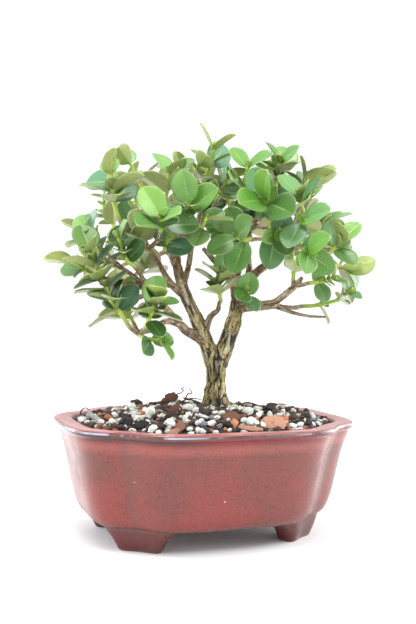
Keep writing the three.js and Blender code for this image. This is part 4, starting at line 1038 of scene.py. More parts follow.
class Growth:
    """Points of what has grown so far, each with its reach, its shoot's number and whether a blade has it."""

    def __init__(self):
        self.points, self.reach = np.empty((0, 3)), np.empty(0)
        self.owner, self.blade = np.empty(0, int), np.empty(0, bool)

    def take(self, points, reach, owner, blade):
        """More points, all of one shoot, or of none where the owner is -1."""
        count = len(points)
        self.points = np.vstack([self.points, points])
        self.reach = np.append(self.reach, np.broadcast_to(reach, count))
        self.owner = np.append(self.owner, np.full(count, owner))
        self.blade = np.append(self.blade, np.full(count, blade))

    def near(self, base, owner):
        """The points about a leaf's base, and how far it has to keep off each; its own stem may touch it."""
        close = np.linalg.norm(self.points - base, axis=1) < LEAF_NEIGHBOURHOOD
        own = self.owner[close] == owner
        least = np.where(own, OWN_BLADE_REACH, self.reach[close] + BLADE_REACH)
        least[own & ~self.blade[close]] = -1
        return self.points[close], least


def wood_and_stems():
    """What the leaves grow among: the boughs, and each shoot's twig and green stem."""
    growth = Growth()
    for start, end, route in BOUGHS[1:]:
        even = np.linspace(0, 1, 7 * (len(route) - 1) + 1)
        growth.take(Route(route).at(even), between([start, end], even) + WOOD_MARGIN, -1, False)
    even = np.linspace(0, 1, 15)
    for who, shoot in enumerate(SHOOTS):
        curve, split = shoot_curve(shoot)
        growth.take(curve.at(split * even), between(TWIG_RADII, even) + WOOD_MARGIN, -1, False)
        growth.take(curve.at(between([split, 1], even)), STEM_REACH, who, False)
    return growth


def free_leaf(axes, pair, turn, opening, length, habit, roll, side, points, least):
    """The first of a leaf's tries that keeps clear of these points, with the points of its own blade."""
    for turn_by, open_by, shrink in LEAF_TRIES:
        turn_tried, opening_tried = math.radians(turn + turn_by), math.radians(opening + open_by)
        leaf = turned_leaf(axes, pair, turn_tried, opening_tried, length * shrink, habit, roll, side)
        blade = blade_place(leaf, BLADE_SHARES, BLADE_SIDES)
        if np.all(np.linalg.norm(blade[:, None] - points[None], axis=2) > least):
            return leaf, blade
    return None, None


def place_leaves():
    """Every full leaf where the solids have it."""
    growth = wood_and_stems()
    leaves = []
    for who, shoot in enumerate(SHOOTS):
        draw = Draw(1000 + 37 * who)
        _, _, _, axes = shoot_axes(shoot)
        _, _, pairs, full_length, first_turn = shoot
        for pair in range(pairs):
            age = min(pairs - 1 - pair, len(LEAF_SIZE) - 1)
            for side in (1, -1):
                turn = first_turn + 90 * pair + draw(-LEAF_TURN_SHAKE, LEAF_TURN_SHAKE)
                opening = LEAF_OPENING[age] + draw(-LEAF_OPENING_SHAKE, LEAF_OPENING_SHAKE)
                length = full_length * LEAF_SIZE[age] * draw(*LEAF_LENGTHS)
                habit = dict(ratio=draw(*LEAF_RATIOS), fold=draw(*LEAF_FOLDS), lift=draw(*LEAF_LIFTS))
                roll = math.radians(draw(-LEAF_ROLL_SHAKE, LEAF_ROLL_SHAKE))
                round_it = growth.near(axes[0][pair + 1], who)
                leaf, blade = free_leaf(axes, pair, turn, opening, length, habit, roll, side, *round_it)
                if leaf:
                    growth.take(blade, BLADE_REACH, who, True)
                    leaves.append(dict(leaf, age=age))
    return leaves


# How young a leaf looks, by its age: new in an angle or at a tip, last full pair, and older pairs.
YOUTH = {-2: [0.05, 0.6], -1: [0.5, 1], 0: [0, 0.4], 1: [0, 0.14], 2: [0, 0.1], 3: [0, 0.08]}
# Rings along a full leaf and a new one, and places across half a ring.
LEAF_ROWS = [0.02, 0.055, 0.1, 0.16, 0.24, 0.33, 0.43, 0.54, 0.65, 0.75, 0.84, 0.91, 0.96, 0.985, 0.998]
LEAF_ACROSS = [-1, -0.86, -0.5, -0.12, 0, 0.12, 0.5, 0.86]
NEW_LEAF_ROWS = [0.03, 0.12, 0.27, 0.43, 0.6, 0.76, 0.89, 0.97, 0.998]
NEW_LEAF_ACROSS = [-1, -0.55, 0, 0.55]
LEAF_THICKNESS = 0.62
NEW_LEAF_THINNESS = 0.6
WIDEST_PLACE = 0.55
# How much a leaf is drawn in against its solid, how it bends down, and how its edge waves.
DRAWN_IN = [0.93, 0.985]
BENDS = [0.01, 0.13]
WAVES = [0, 0.035]
# New leaves: the share of pairs that have them, their lengths at a tip and as a share of a full leaf's in an
# angle, how far they open in degrees, and their habit.
SPRIG_SHARE = 0.85
TIP_LEAF_LENGTHS = [5.5, 9.5]
SPRIG_LEAF_SHARES = [0.42, 0.74]
TIP_LEAF_OPENINGS = [18, 42]
SPRIG_LEAF_OPENINGS = [38, 66]
NEW_LEAF_TURN_SHAKE = 16
NEW_LEAF_ROLL_SHAKE = 0.4
NEW_LEAF_RATIOS = [0.52, 0.66]
NEW_LEAF_FOLDS = [0.25, 0.5]
NEW_LEAF_LIFT = 0.1
# How deep in the crown, which sets the leaves' painted shade: how far a leaf's shade reaches, and the shares
# between which the depth rises.
SHADE_REACH = 17
DEPTH_SHARES = [0.1, 0.92]


def new_leaves(draw):
    """Small new leaves in pairs, a quarter turn from the full ones: half open at each shoot's tip, and in the
    angles of most of its older pairs."""
    made = []
    for shoot in SHOOTS:
        _, _, pairs, full_length, first_turn = shoot
        _, _, _, axes = shoot_axes(shoot)
        for pair in range(pairs):
            at_tip = pair == pairs - 1
            if not at_tip and draw.uniform() > SPRIG_SHARE:
                continue
            if at_tip:
                length = draw.uniform(*TIP_LEAF_LENGTHS)
            else:
                length = full_length * draw.uniform(*SPRIG_LEAF_SHARES)
            openings = TIP_LEAF_OPENINGS if at_tip else SPRIG_LEAF_OPENINGS
            for side in (1, -1):
                ratio, fold = draw.uniform(*NEW_LEAF_RATIOS), draw.uniform(*NEW_LEAF_FOLDS)
                habit = dict(ratio=ratio, fold=fold, lift=NEW_LEAF_LIFT)
                shake = draw.uniform(-NEW_LEAF_TURN_SHAKE, NEW_LEAF_TURN_SHAKE)
                turn = math.radians(first_turn + 90 * (pair + 1) + shake)
                opening = math.radians(draw.uniform(*openings))
                roll = draw.uniform(-NEW_LEAF_ROLL_SHAKE, NEW_LEAF_ROLL_SHAKE)
                leaf = turned_leaf(axes, pair, turn, opening, length, habit, roll, side)
                leaf["base"] = leaf["base"] + axes[1][pair + 1] * (0.8 if at_tip else 1.6)
                made.append(dict(leaf, age=-1 if at_tip else -2))
    return made


def crown_shade_depths(leaves):
    """How deep in the crown each leaf is, 0 to 1, which darkens it as painted shade: the sum over all of size
    times exp(-(d / 17)^2), where those above it count most, drawn between the sum's lowest tenth and nearly
    its highest."""
    middles = np.array([leaf["base"] + leaf["ahead"] * leaf["length"] * WIDEST_PLACE for leaf in leaves])
    sizes = np.array([leaf["length"] for leaf in leaves])
    ways = middles[None] - middles[:, None]
    far = np.linalg.norm(ways, axis=2) + 1e-6
    from_above = 0.35 + 0.65 * np.clip(ways[..., 2] / far, -0.4, 1)
    cover = (bell(far, SHADE_REACH) * from_above * sizes[None]).sum(1)
    return rising(cover, *np.quantile(cover, DEPTH_SHARES))


def leaf_width(share):
    """Half width along a leaf: (1 - b^1.9)^0.62 below its widest place and (1 - t^2.05)^0.58 above it, where
    b and t run from 0 there to 1 at the base and at the tip; drawn in to a short stalk at the base."""
    base = rising(share, WIDEST_PLACE, 0)
    tip = rising(share, WIDEST_PLACE, 1)
    width = np.where(share < WIDEST_PLACE, (1 - base**1.9) ** 0.62, (1 - tip**2.05) ** 0.58)
    blade = rising(share, 0.04, 0.16)
    blade = blade * blade * (3 - 2 * blade)
    return 0.13 * (1 - blade) + width * blade


def leaf_skin(draw, leaf, depth):
    """A leaf's rings along its length, and the numbers of their points. A ring goes over the upper face from
    edge to edge and back under it: height = fold |v| with a soft midrib, less a bend c u^2, less the leaf's
    thickness on the way back."""
    new = leaf["age"] < 0
    rows, half_ring = (NEW_LEAF_ROWS, NEW_LEAF_ACROSS) if new else (LEAF_ROWS, LEAF_ACROSS)
    over = np.concatenate([half_ring, -np.array(half_ring)])
    under = np.repeat([0.0, 1.0], len(half_ring))
    under[[0, len(half_ring)]] = 0.5
    share = np.array(rows)[:, None]
    width = leaf_width(share)
    drawn_in = draw.uniform(*DRAWN_IN)
    length, half = leaf["length"] * drawn_in, leaf["half"] * drawn_in
    bend = draw.uniform(*BENDS)
    wave, phase = draw.uniform(*WAVES), draw.uniform(0, 6.28)
    thick = LEAF_THICKNESS * (1 - 0.75 * np.abs(over) ** 3)
    thick = (thick + 0.5 * bell(share, 0.07) + 0.22 * bell(over, 0.1)) * (NEW_LEAF_THINNESS if new else 1)
    soft = np.sqrt((over * width) ** 2 + 0.004) - 0.063
    lift = half * leaf["fold"] * soft - length * bend * share**2
    lift = lift + wave * half * np.sin(9 * share + phase) * over**2 * np.sign(over)
    lift = lift - 0.1 * bell(over, 0.09) - under * thick
    points = (
        leaf["base"]
        + leaf["ahead"] * (share * length + 0 * over)[..., None]
        + leaf["aside"] * (over * width * half)[..., None]
        + leaf["face"] * (lift + 0.2)[..., None]
    )
    youth = draw.uniform(*YOUTH[leaf["age"]])
    tone = draw.uniform(0, 1)
    rim = np.minimum((1 - np.abs(over)) * width * half, (1 - share) * length * 0.7)
    ring = np.ones_like(rim)
    numbers = dict(
        leaf_u=share * ring, leaf_v=over * ring, under=under * ring, rim=rim, tone=tone * ring,
        youth=youth * ring, depth=depth * ring,
    )
    return turned(points), numbers


def make_leaves(green):
    """The full leaves as one piece, and the new ones as another."""
    draw = np.random.default_rng(23)
    full, small = Shell(), Shell()
    leaves = place_leaves() + new_leaves(draw)
    for leaf, depth in zip(leaves, crown_shade_depths(leaves)):
        rings, numbers = leaf_skin(draw, leaf, depth)
        shell = small if leaf["age"] < 0 else full
        shell.add_tube(rings, **numbers)
    finish_piece("leaves", full.mesh("leaves"), green, SHOOT_NODES)
    finish_piece("new_leaves", small.mesh("new_leaves"), green)


# A stem's end, drawn out into a bud, and a side bud: how far out each ring is, and its radius.
TIP_BUD_RISE = np.array([0.3, 0.75, 1.4, 2.1, 2.8, 3.2])
TIP_BUD_RADII = np.array([1.15, 0.95, 0.85, 0.62, 0.34, 0.1]) * STEM_RADII[1]
SIDE_BUD_RISE = np.array([0.8, 1.5, 2.2, 2.8, 3.1])
SIDE_BUD_RADII = np.array([0.7, 0.8, 0.62, 0.35, 0.1])
SIDE_BUD_SHARE = 0.3
STEM_SINK = 1.2


def side_bud(axes, turn):
    """A small bud's rings, leaning out from the stem at a turn about it."""
    spot, up, out, sideways = axes
    lean = unit(up * 0.6 + out * math.cos(turn) + sideways * math.sin(turn))
    side = unit(np.cross(lean, up))
    points = spot + lean * SIDE_BUD_RISE[:, None]
    ways = [np.repeat(way[None], len(points), 0) for way in (lean, side, np.cross(lean, side))]
    return tube((points, *ways), SIDE_BUD_RADII[:, None], 7)


def make_stems(green, bud):
    """Green stems: radius from thick to thin, with a swelling 0.4 exp(-(d / 1.3)^2) at each leaf pair, drawn
    out into a bud at the tip; and small brown buds at some pairs."""
    shell, buds = Shell(), Shell()
    draw = np.random.default_rng(5)
    for shoot in SHOOTS:
        curve, split, stations, axes = shoot_axes(shoot)
        length = curve.length()
        run = np.linspace(split - STEM_SINK / length, 1, max(10, int((1 - split) * length / 0.9)))
        share = rising(run, split, 1)
        near = (run[:, None] - np.array(stations)[None]) * length
        radius = between(STEM_RADII, share) + 0.4 * bell(near, 1.3).sum(1)
        middle, *ways = curve.axes(run)
        middle = np.vstack([middle, middle[-1] + ways[0][-1] * TIP_BUD_RISE[:, None]])
        ways = [np.vstack([way, np.repeat(way[-1:], len(TIP_BUD_RISE), 0)]) for way in ways]
        rings = tube((middle, *ways), np.r_[radius, TIP_BUD_RADII][:, None], 8)
        ring = np.ones(rings.shape[:2])
        age = np.r_[share, share[-1] + TIP_BUD_RISE * 0.1]
        shell.add_tube(turned(rings), share=age[:, None] * ring, tone=draw.uniform() * ring)
        for pair in range(len(stations)):
            if draw.uniform() < SIDE_BUD_SHARE:
                at_pair = [part[pair + 1] for part in axes]
                buds.add_tube(turned(side_bud(at_pair, draw.uniform(0, 6.28))))
    finish_piece("green_stems", shell.mesh("green_stems"), green)
    finish_piece("side_buds", buds.mesh("side_buds"), bud)


# The finishes.


def paint(red, green, blue):
    """A colour as a screen shows it, 0 to 255, as the linear colour that a shader takes."""
    shown = (red, green, blue)
    return tuple(((c / 255 + 0.055) / 1.055) ** 2.4 if c > 10 else c / 3294 for c in shown) + (1.0,)


class Coat:
    """The nodes of one finish or effect, and the place on the surface that its patterns lie on. Colours are
    sockets, or three numbers as paint takes them."""

    def __init__(self, tree, place):
        self.tree, self.place = tree, place

    def node(self, kind, inputs=None, **settings):
        """A shader node with its settings, and its inputs set or linked."""
        node = self.tree.nodes.new(kind)
        for key, value in settings.items():
            setattr(node, key, value)
        for key, value in (inputs or {}).items():
            if isinstance(value, bpy.types.NodeSocket):
                self.tree.links.new(value, node.inputs[key])
            else:
                node.inputs[key].default_value = paint(*value) if isinstance(value, tuple) else value
        return node

    def mix(self, share, first, second):
        """Two colours mixed by a share that changes over the surface."""
        return self.node("ShaderNodeMix", {0: share, 6: first, 7: second}, data_type="RGBA").outputs[2]

    def over(self, under, upper, *shares):
        """A colour laid over another by the product of these shares."""
        return self.mix(self.times(*shares), under, upper)

    def ramp(self, value, *stops):
        """Colours along a value, each given with its place."""
        node = self.node("ShaderNodeValToRGB", {"Fac": value})
        marks = node.color_ramp.elements
        while len(marks) < len(stops):
            marks.new(0.5)
        for mark, (place, colour) in zip(marks, stops):
            mark.position, mark.color = place, paint(*colour)
        return node.outputs["Color"]

    def maths(self, operation, first, second=0.5):
        """One sum of two values."""
        return self.node("ShaderNodeMath", {0: first, 1: second}, operation=operation).outputs[0]

    def times(self, product, *others):
        """The product of them all."""
        for other in others:
            product = self.maths("MULTIPLY", product, other)
        return product

    def plus(self, first, second):
        """Their sum."""
        return self.maths("ADD", first, second)

    def minus(self, first, second):
        """The first less the second."""
        return self.maths("SUBTRACT", first, second)

    def most(self, first, second):
        """The larger of the two."""
        return self.maths("MAXIMUM", first, second)

    def size(self, value):
        """The value without its sign."""
        return self.maths("ABSOLUTE", value)

    def off_line(self, value):
        """How far a value is from the middle between two whole numbers."""
        return self.size(self.minus(self.maths("FRACT", value), 0.5))

    def spread(self, value, low, high, to_low=0.0, to_high=1.0):
        """A value between two limits, as a value between two others."""
        limits = {"From Min": low, "From Max": high, "To Min": to_low, "To Max": to_high}
        return self.node("ShaderNodeMapRange", {"Value": value, **limits}).outputs["Result"]

    def band(self, value, start, full, fading, end):
        """A share that rises from the start to where it is full, and falls from where it fades to the end."""
        return self.times(self.spread(value, start, full), self.spread(value, end, fading))

    def along(self, axis):
        """The place along an axis, in metres."""
        return self.node("ShaderNodeSeparateXYZ", {"Vector": self.place}).outputs[axis]

    def of_piece(self, name, output="Fac"):
        """A number that the piece holds for each of its points."""
        return self.node("ShaderNodeAttribute", attribute_name=name).outputs[output]

    def noise(self, place, scale, detail, roughness, distortion=0.0):
        """Cloudy noise."""
        shape = {"Scale": scale, "Detail": detail, "Roughness": roughness, "Distortion": distortion}
        return self.node("ShaderNodeTexNoise", {"Vector": place, **shape}).outputs["Fac"]

    def cells(self, scale):
        """Points scattered over the surface, each with a colour and the distance to it."""
        return self.node("ShaderNodeTexVoronoi", {"Vector": self.place, "Scale": scale}).outputs

    def effect(self, group, output, **numbers):
        """An effect's output on this surface, with its own numbers."""
        inputs = {"Vector": self.place, **numbers}
        return self.node("ShaderNodeGroup", inputs, node_tree=group).outputs[output]

    def patches(self, scale, low, high):
        """A share in soft patches, which rises between two limits of their noise."""
        return self.effect(PATCHES, "Mask", Scale=scale, Low=low, High=high)

    def specks(self, scale, size, share):
        """A share that is 1 in small round specks, at this share of the scattered points."""
        return self.effect(SPECKS, "Mask", Scale=scale, Size=size, Share=share)

    def grit(self, scale, output="Tone"):
        """Fine unevenness, or as its height the fine and the coarse together."""
        return self.effect(GRIT, output, Scale=scale)

    def bumped(self, height, distance, strength=1.0):
        """A normal raised by a height."""
        depth = {"Height": height, "Distance": distance, "Strength": strength}
        return self.node("ShaderNodeBump", depth).outputs["Normal"]


def effect_group(name, numbers, outputs, build):
    """A node group: its numbered inputs with their defaults, its outputs, and how it is built."""
    group = bpy.data.node_groups.new(name, "ShaderNodeTree")
    group.interface.new_socket(name="Vector", in_out="INPUT", socket_type="NodeSocketVector")
    for key, value in numbers.items():
        socket = group.interface.new_socket(name=key, in_out="INPUT", socket_type="NodeSocketFloat")
        socket.default_value = value
    for key in outputs:
        group.interface.new_socket(name=key, in_out="OUTPUT", socket_type="NodeSocketFloat")
    given = group.nodes.new("NodeGroupInput").outputs
    leave = group.nodes.new("NodeGroupOutput")
    for key, value in build(Coat(group, given["Vector"]), given).items():
        group.links.new(value, leave.inputs[key])
    return group


def patches(coat, given):
    """Soft patches: noise between two limits."""
    cloud = coat.noise(coat.place, given["Scale"], 5.0, 0.6)
    limits = {"Value": cloud, "From Min": given["Low"], "From Max": given["High"]}
    mask = coat.node("ShaderNodeMapRange", limits, interpolation_type="SMOOTHSTEP")
    return {"Mask": mask.outputs["Result"]}


def specks(coat, given):
    """Small round specks: what lies within a size of a scattered point, and only some of them."""
    spots = coat.cells(given["Scale"])
    near = coat.maths("LESS_THAN", spots["Distance"], given["Size"])
    picked = coat.node("ShaderNodeSeparateColor", {"Color": spots["Color"]}).outputs[0]
    return {"Mask": coat.times(near, coat.maths("LESS_THAN", picked, given["Share"]))}


def grit(coat, given):
    """Fine and coarse unevenness together."""
    fine = coat.noise(coat.place, given["Scale"], 6.0, 0.7)
    dips = coat.spread(coat.cells(given["Scale"])["Distance"], 0.0, 0.5)
    return {"Height": coat.times(fine, dips), "Tone": fine}


PATCHES = effect_group("patches", {"Scale": 20.0, "Low": 0.4, "High": 0.6}, ["Mask"], patches)
SPECKS = effect_group("specks", {"Scale": 100.0, "Size": 0.1, "Share": 0.5}, ["Mask"], specks)
GRIT = effect_group("grit", {"Scale": 500.0}, ["Height", "Tone"], grit)


def material(name, build, **constants):
    """A material: the shader's own numbers, and what the build links to its sockets."""
    made = bpy.data.materials.new(name)
    made.use_nodes = True
    tree = made.node_tree
    shader = next(node for node in tree.nodes if node.type == "BSDF_PRINCIPLED")
    for key, value in constants.items():
        shader.inputs[key.replace("_", " ")].default_value = value
    place = tree.nodes.new("ShaderNodeTexCoord").outputs["Object"]
    for key, value in build(Coat(tree, place)).items():
        tree.links.new(value, shader.inputs[key])
    return made


def oxblood_glaze(coat):
    """Mottled red glaze: grey-brown clouds, fine grains and specks, pink on the lip, dark along the lip's
    edge, dark red pooled just under the lip and deepened there as painted shade, and bare brown along the
    foot; also a painted highlight in a pale band under the lip, painted shade down the notches, and a painted
    bluish reflection along the lip's face towards its corners, where the glaze also breaks pale. Heights and
    places are in metres."""
    height, aside, face = coat.along("Z"), coat.along("X"), coat.of_piece("lip_face")
    mottle = coat.patches(46.0, 0.42, 0.68)
    grain = coat.patches(950.0, 0.3, 0.7)
    blush = coat.patches(38.0, 0.3, 0.6)
    broken = coat.patches(60.0, 0.3, 0.55)

    colour = coat.mix(mottle, (122, 40, 34), (106, 38, 33))
    shoulder = coat.band(height, 0.036, 0.052, 0.064, 0.072)
    shoulder = coat.times(shoulder, coat.spread(mottle, 0.0, 1.0, 0.4, 1.0))
    cloud = coat.most(coat.times(coat.patches(15.0, 0.44, 0.6), 0.7), shoulder)
    colour = coat.over(colour, (82, 51, 42), cloud, 0.8)
    colour = coat.over(colour, (144, 72, 62), grain, 0.5)
    # Painted highlight: a paler band just under the lip, where the hollow of the wall catches the light.
    painted_light_band = coat.band(height, 0.0635, 0.067, 0.069, 0.072)
    colour = coat.over(colour, (166, 90, 84), painted_light_band, 0.35)
    colour = coat.over(colour, (58, 24, 22), coat.specks(420.0, 0.26, 0.4), 0.55)

    wall_foot = coat.spread(height, 0.0185, 0.0148)
    colour = coat.over(colour, (84, 62, 52), wall_foot, 0.75)
    feet = coat.spread(height, 0.0142, 0.013)
    colour = coat.over(colour, coat.mix(mottle, (92, 28, 30), (88, 58, 50)), feet, 0.8)
    soles = coat.spread(height, 0.0022, 0.0004)
    colour = coat.over(colour, (104, 80, 68), soles, 0.8)
    # Painted shade: greyer brown down the creases of the notches.
    colour = coat.over(colour, (90, 64, 56), coat.of_piece("notch"), 0.4)

    colour = coat.over(colour, coat.mix(blush, (182, 116, 112), (148, 80, 76)), coat.of_piece("lip_top"))
    edge = coat.times(coat.band(height, 0.0749, 0.0757, 0.0777, 0.0786), face)
    edge_colour = coat.mix(blush, (64, 36, 32), (92, 62, 56))
    colour = coat.over(colour, edge_colour, edge, coat.spread(broken, 0.0, 1.0, 0.6, 0.95))
    # Under the lip: dark red where the glaze pools, deepened as painted shade under the lip's overhang; dark
    # brown towards the -x end and red elsewhere.
    below = coat.band(height, 0.0712, 0.0732, 0.0749, 0.0757)
    below = coat.times(below, coat.spread(broken, 0.0, 1.0, 0.55, 1.0))
    redder = coat.spread(aside, -0.055, -0.02)
    pooled_and_shaded_colour = coat.mix(redder, (62, 28, 25), (112, 6, 16))
    colour = coat.over(colour, pooled_and_shaded_colour, below, coat.of_piece("near_rim"))
    # Painted reflection: a bluish-white streak along the lip's face towards the corners, standing in for a
    # highlight, partly the glaze breaking pale there.
    sheen = coat.times(coat.band(height, 0.0762, 0.0767, 0.0772, 0.0778), coat.patches(55.0, 0.46, 0.56))
    off_middle = coat.spread(coat.size(aside), 0.02, 0.055, 0.1, 1.0)
    colour = coat.over(colour, (186, 190, 216), sheen, off_middle, face, 0.8)

    colour = coat.over(colour, (96, 50, 48), coat.of_piece("inside"))
    colour = coat.over(colour, (222, 200, 184), coat.specks(110.0, 0.05, 0.45))
    rough = coat.minus(coat.spread(mottle, 0.0, 1.0, 0.26, 0.38), coat.times(face, 0.14))
    relief = coat.plus(coat.times(grain, 0.35), coat.grit(260.0))
    return {"Base Color": colour, "Roughness": rough, "Normal": coat.bumped(relief, 0.00025, 0.5)}


def fissured_bark(coat):
    """Tan ridges and near-black furrows along the wood, grey-brown on the boughs and silver at the fork."""
    height, thickness = coat.of_piece("height"), coat.of_piece("thickness")
    strands = coat.noise(coat.of_piece("bark_place", "Vector"), 3.2, 6.0, 0.7, 0.3)
    ridge = coat.plus(coat.spread(coat.of_piece("ridge"), -0.7, 0.7), coat.minus(strands, 0.5))
    old = coat.ramp(
        ridge, (0.16, (94, 84, 50)), (0.4, (170, 154, 92)), (0.6, (214, 197, 132)), (0.85, (240, 229, 184)),
    )
    young = coat.ramp(
        ridge, (0.15, (122, 98, 70)), (0.4, (174, 148, 114)), (0.62, (208, 188, 154)),
        (0.88, (234, 222, 198)),
    )
    ragged = coat.plus(height, coat.spread(coat.patches(70.0, 0.35, 0.65), 0.0, 1.0, -0.15, 0.15))
    youth = coat.most(coat.spread(ragged, 0.55, 0.9), coat.spread(thickness, 0.56, 0.36))
    colour = coat.mix(youth, old, young)
    scurf = coat.patches(380.0, 0.46, 0.6)
    colour = coat.over(colour, (108, 78, 54), scurf, coat.spread(youth, 0.0, 1.0, 0.1, 0.5))
    colour = coat.over(colour, (232, 222, 192), coat.patches(520.0, 0.55, 0.66), 0.45)
    fork = coat.band(height, 0.22, 0.32, 0.42, 0.62)
    colour = coat.over(colour, (196, 196, 184), fork, coat.patches(95.0, 0.5, 0.62), 0.6)
    colour = coat.over(colour, (74, 66, 52), coat.spread(ragged, 0.1, -0.05, 0.0, 0.6))
    cracks = coat.spread(coat.size(coat.minus(strands, 0.48)), 0.035, 0.0, 0.0, 0.7)
    sunk = coat.most(coat.spread(coat.of_piece("furrow"), 0.3, 0.8, 0.0, 0.95), cracks)
    colour = coat.over(colour, coat.mix(youth, (32, 32, 34), (104, 80, 58)), sunk)
    colour = coat.over(colour, (138, 122, 78), coat.spread(thickness, 0.19, 0.17), 0.35)
    rise = coat.plus(strands, coat.times(coat.grit(1400.0), 0.25))
    relief = coat.minus(rise, coat.times(cracks, 0.4))
    return {"Base Color": colour, "Normal": coat.bumped(relief, 0.0012, 0.9)}


def leathery_leaf(coat):
    """Green above and pale olive below, lime on young leaves, with a pale edge, midrib and faint side veins; a
    painted bluish sheen on some, and painted shade on those deep in the crown.
    Veins run where 11 u - 2.6 |v| is halfway between two whole numbers, and their net where 9 u + 8 |v|
    is."""
    tone, youth, depth = coat.of_piece("tone"), coat.of_piece("youth"), coat.of_piece("depth")
    u, below = coat.of_piece("leaf_u"), coat.of_piece("under")
    aside = coat.size(coat.of_piece("leaf_v"))
    cloud = coat.patches(130.0, 0.3, 0.7)
    # The blue-green stops of this ramp are a painted sheen: some leaves carry the sky's reflection in their
    # colour.
    shade = coat.ramp(
        tone, (0.0, (38, 84, 26)), (0.2, (58, 112, 34)), (0.42, (88, 142, 44)), (0.56, (62, 120, 72)),
        (0.74, (78, 134, 122)), (0.88, (104, 152, 70)), (1.0, (120, 162, 76)),
    )
    shade = coat.over(shade, (48, 96, 38), cloud, 0.4)
    upper = coat.mix(youth, shade, (144, 194, 62))
    pale = coat.ramp(
        tone, (0.0, (122, 142, 70)), (0.4, (160, 168, 104)), (0.7, (132, 160, 78)), (1.0, (180, 182, 126)),
    )
    lower = coat.mix(youth, pale, (172, 206, 90))
    lower = coat.over(lower, (124, 126, 72), cloud, 0.35)
    colour = coat.mix(coat.maths("GREATER_THAN", below, 0.5), upper, lower)

    line = coat.off_line(coat.minus(coat.times(u, 11.0), coat.times(aside, 2.6)))
    cross = coat.off_line(coat.plus(coat.times(u, 9.0), coat.times(aside, 8.0)))
    net = coat.times(coat.patches(1300.0, 0.42, 0.6), 0.22)
    fine = coat.plus(coat.spread(cross, 0.14, 0.0, 0.0, 0.16), net)
    veins = coat.plus(coat.spread(line, 0.14, 0.0, 0.0, 0.3), fine)
    colour = coat.over(colour, coat.mix(below, (128, 176, 88), (180, 190, 120)), veins)
    # Painted shade: leaves deep in the crown are darkened, their upper faces more than their lower ones.
    inner = coat.mix(below, (26, 60, 18), (84, 100, 36))
    colour = coat.over(colour, inner, depth, coat.spread(below, 0.0, 1.0, 0.82, 0.5))
    midrib = coat.times(coat.spread(aside, 0.06, 0.015), coat.spread(u, 1.0, 0.5, 0.0, 0.45))
    colour = coat.over(colour, (176, 200, 120), midrib)
    colour = coat.over(colour, (184, 200, 128), coat.spread(coat.of_piece("rim"), 0.35, 0.12, 0.0, 0.6))
    scars = coat.times(coat.specks(62.0, 0.12, 0.16), coat.patches(600.0, 0.4, 0.6))
    colour = coat.over(colour, (118, 94, 56), scars, 0.7)
    rough = coat.spread(cloud, 0.0, 1.0, 0.26, 0.4)
    relief = coat.minus(coat.times(coat.grit(900.0), 0.35), coat.plus(midrib, veins))
    return {"Base Color": colour, "Roughness": rough, "Normal": coat.bumped(relief, 0.00025, 0.6)}


def young_stem(coat):
    """Yellow-green stem, browner where it leaves the wood."""
    colour = coat.mix(coat.of_piece("tone"), (142, 174, 54), (174, 190, 82))
    colour = coat.over(colour, (140, 132, 84), coat.spread(coat.of_piece("share"), 0.14, 0.0))
    colour = coat.over(colour, (196, 204, 150), coat.specks(520.0, 0.2, 0.35), 0.5)
    return {"Base Color": colour, "Normal": coat.bumped(coat.grit(1100.0), 0.0002, 0.5)}


def screen_plastic(coat):
    """Black mesh plastic with dust on it."""
    colour = coat.over((30, 30, 30), (96, 84, 74), coat.patches(200.0, 0.45, 0.8), 0.5)
    return {"Base Color": colour, "Normal": coat.bumped(coat.grit(1500.0, "Height"), 0.0001)}


def floor_white(coat):
    """White with a trace of unevenness."""
    return {"Base Color": coat.mix(coat.patches(3.0, 0.4, 0.6), (246, 246, 247), (243, 243, 245))}


# Grains: the two tones that lumps lie between, the blots on them, how fine and how deep in metres the pitted
# skin is, and the roughness.
GRAIN_FINISHES = {
    "peat": [(58, 46, 38), (58, 46, 38), (88, 70, 56), 700.0, 0.001, 0.92],
    "perlite": [(252, 252, 250), (186, 190, 174), (206, 200, 184), 1000.0, 0.0009, 0.92],
    "pumice": [(206, 206, 200), (92, 92, 98), (128, 120, 112), 1200.0, 0.0006, 0.92],
    "bark_chip": [(92, 56, 42), (184, 136, 112), (104, 66, 50), 900.0, 0.0006, 0.92],
    "orange_chip": [(206, 116, 68), (196, 138, 98), (150, 84, 54), 900.0, 0.0005, 0.92],
    "dark_crumb": [(46, 44, 48), (98, 76, 62), (34, 30, 30), 800.0, 0.001, 0.92],
    "rootlet": [(88, 52, 38), (150, 100, 70), (70, 44, 34), 900.0, 0.00015, 0.8],
    "side_bud": [(196, 132, 74), (170, 108, 60), (132, 84, 50), 900.0, 0.0003, 0.6],
}


def grain_finish(name):
    """A grain's material: two tones between lumps, blots on each, and a pitted skin."""
    first, second, blot, fineness, depth, roughness = GRAIN_FINISHES[name]

    def build(coat):
        colour = coat.mix(coat.of_piece("tone"), first, second)
        colour = coat.over(colour, blot, coat.patches(fineness / 5, 0.54, 0.8))
        return {"Base Color": colour, "Normal": coat.bumped(coat.grit(fineness, "Height"), depth)}

    return material(name, build, Roughness=roughness)


def make_object():
    """All the pieces, with their finishes."""
    glossy = dict(Coat_Weight=0.25, Coat_Roughness=0.12, Specular_IOR_Level=0.35)
    make_pot(material("oxblood_glaze", oxblood_glaze, **glossy))
    make_peat()
    make_grains()
    make_rootlets()
    make_wood(material("fissured_bark", fissured_bark, Roughness=0.82))
    make_leaves(material("leathery_leaf", leathery_leaf, Coat_Weight=0.2, Coat_Roughness=0.3))
    make_stems(material("young_stem", young_stem, Roughness=0.45), grain_finish("side_bud"))
    screen = material("screen_plastic", screen_plastic, Roughness=0.6)
    for name in ("drain_screen_left", "drain_screen_right"):
        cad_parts[name].data.materials.clear()
        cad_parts[name].data.materials.append(screen)


# The view.

# The eye, as the viewer faces the tree, looking slightly down and held slightly off level, in radians.
EYE = [1.41, -615.1, 158.6]
EYE_PITCH = 0.011
EYE_ROLL = 0.02
EYE_SENSOR = 36
EYE_LENS = 51.14

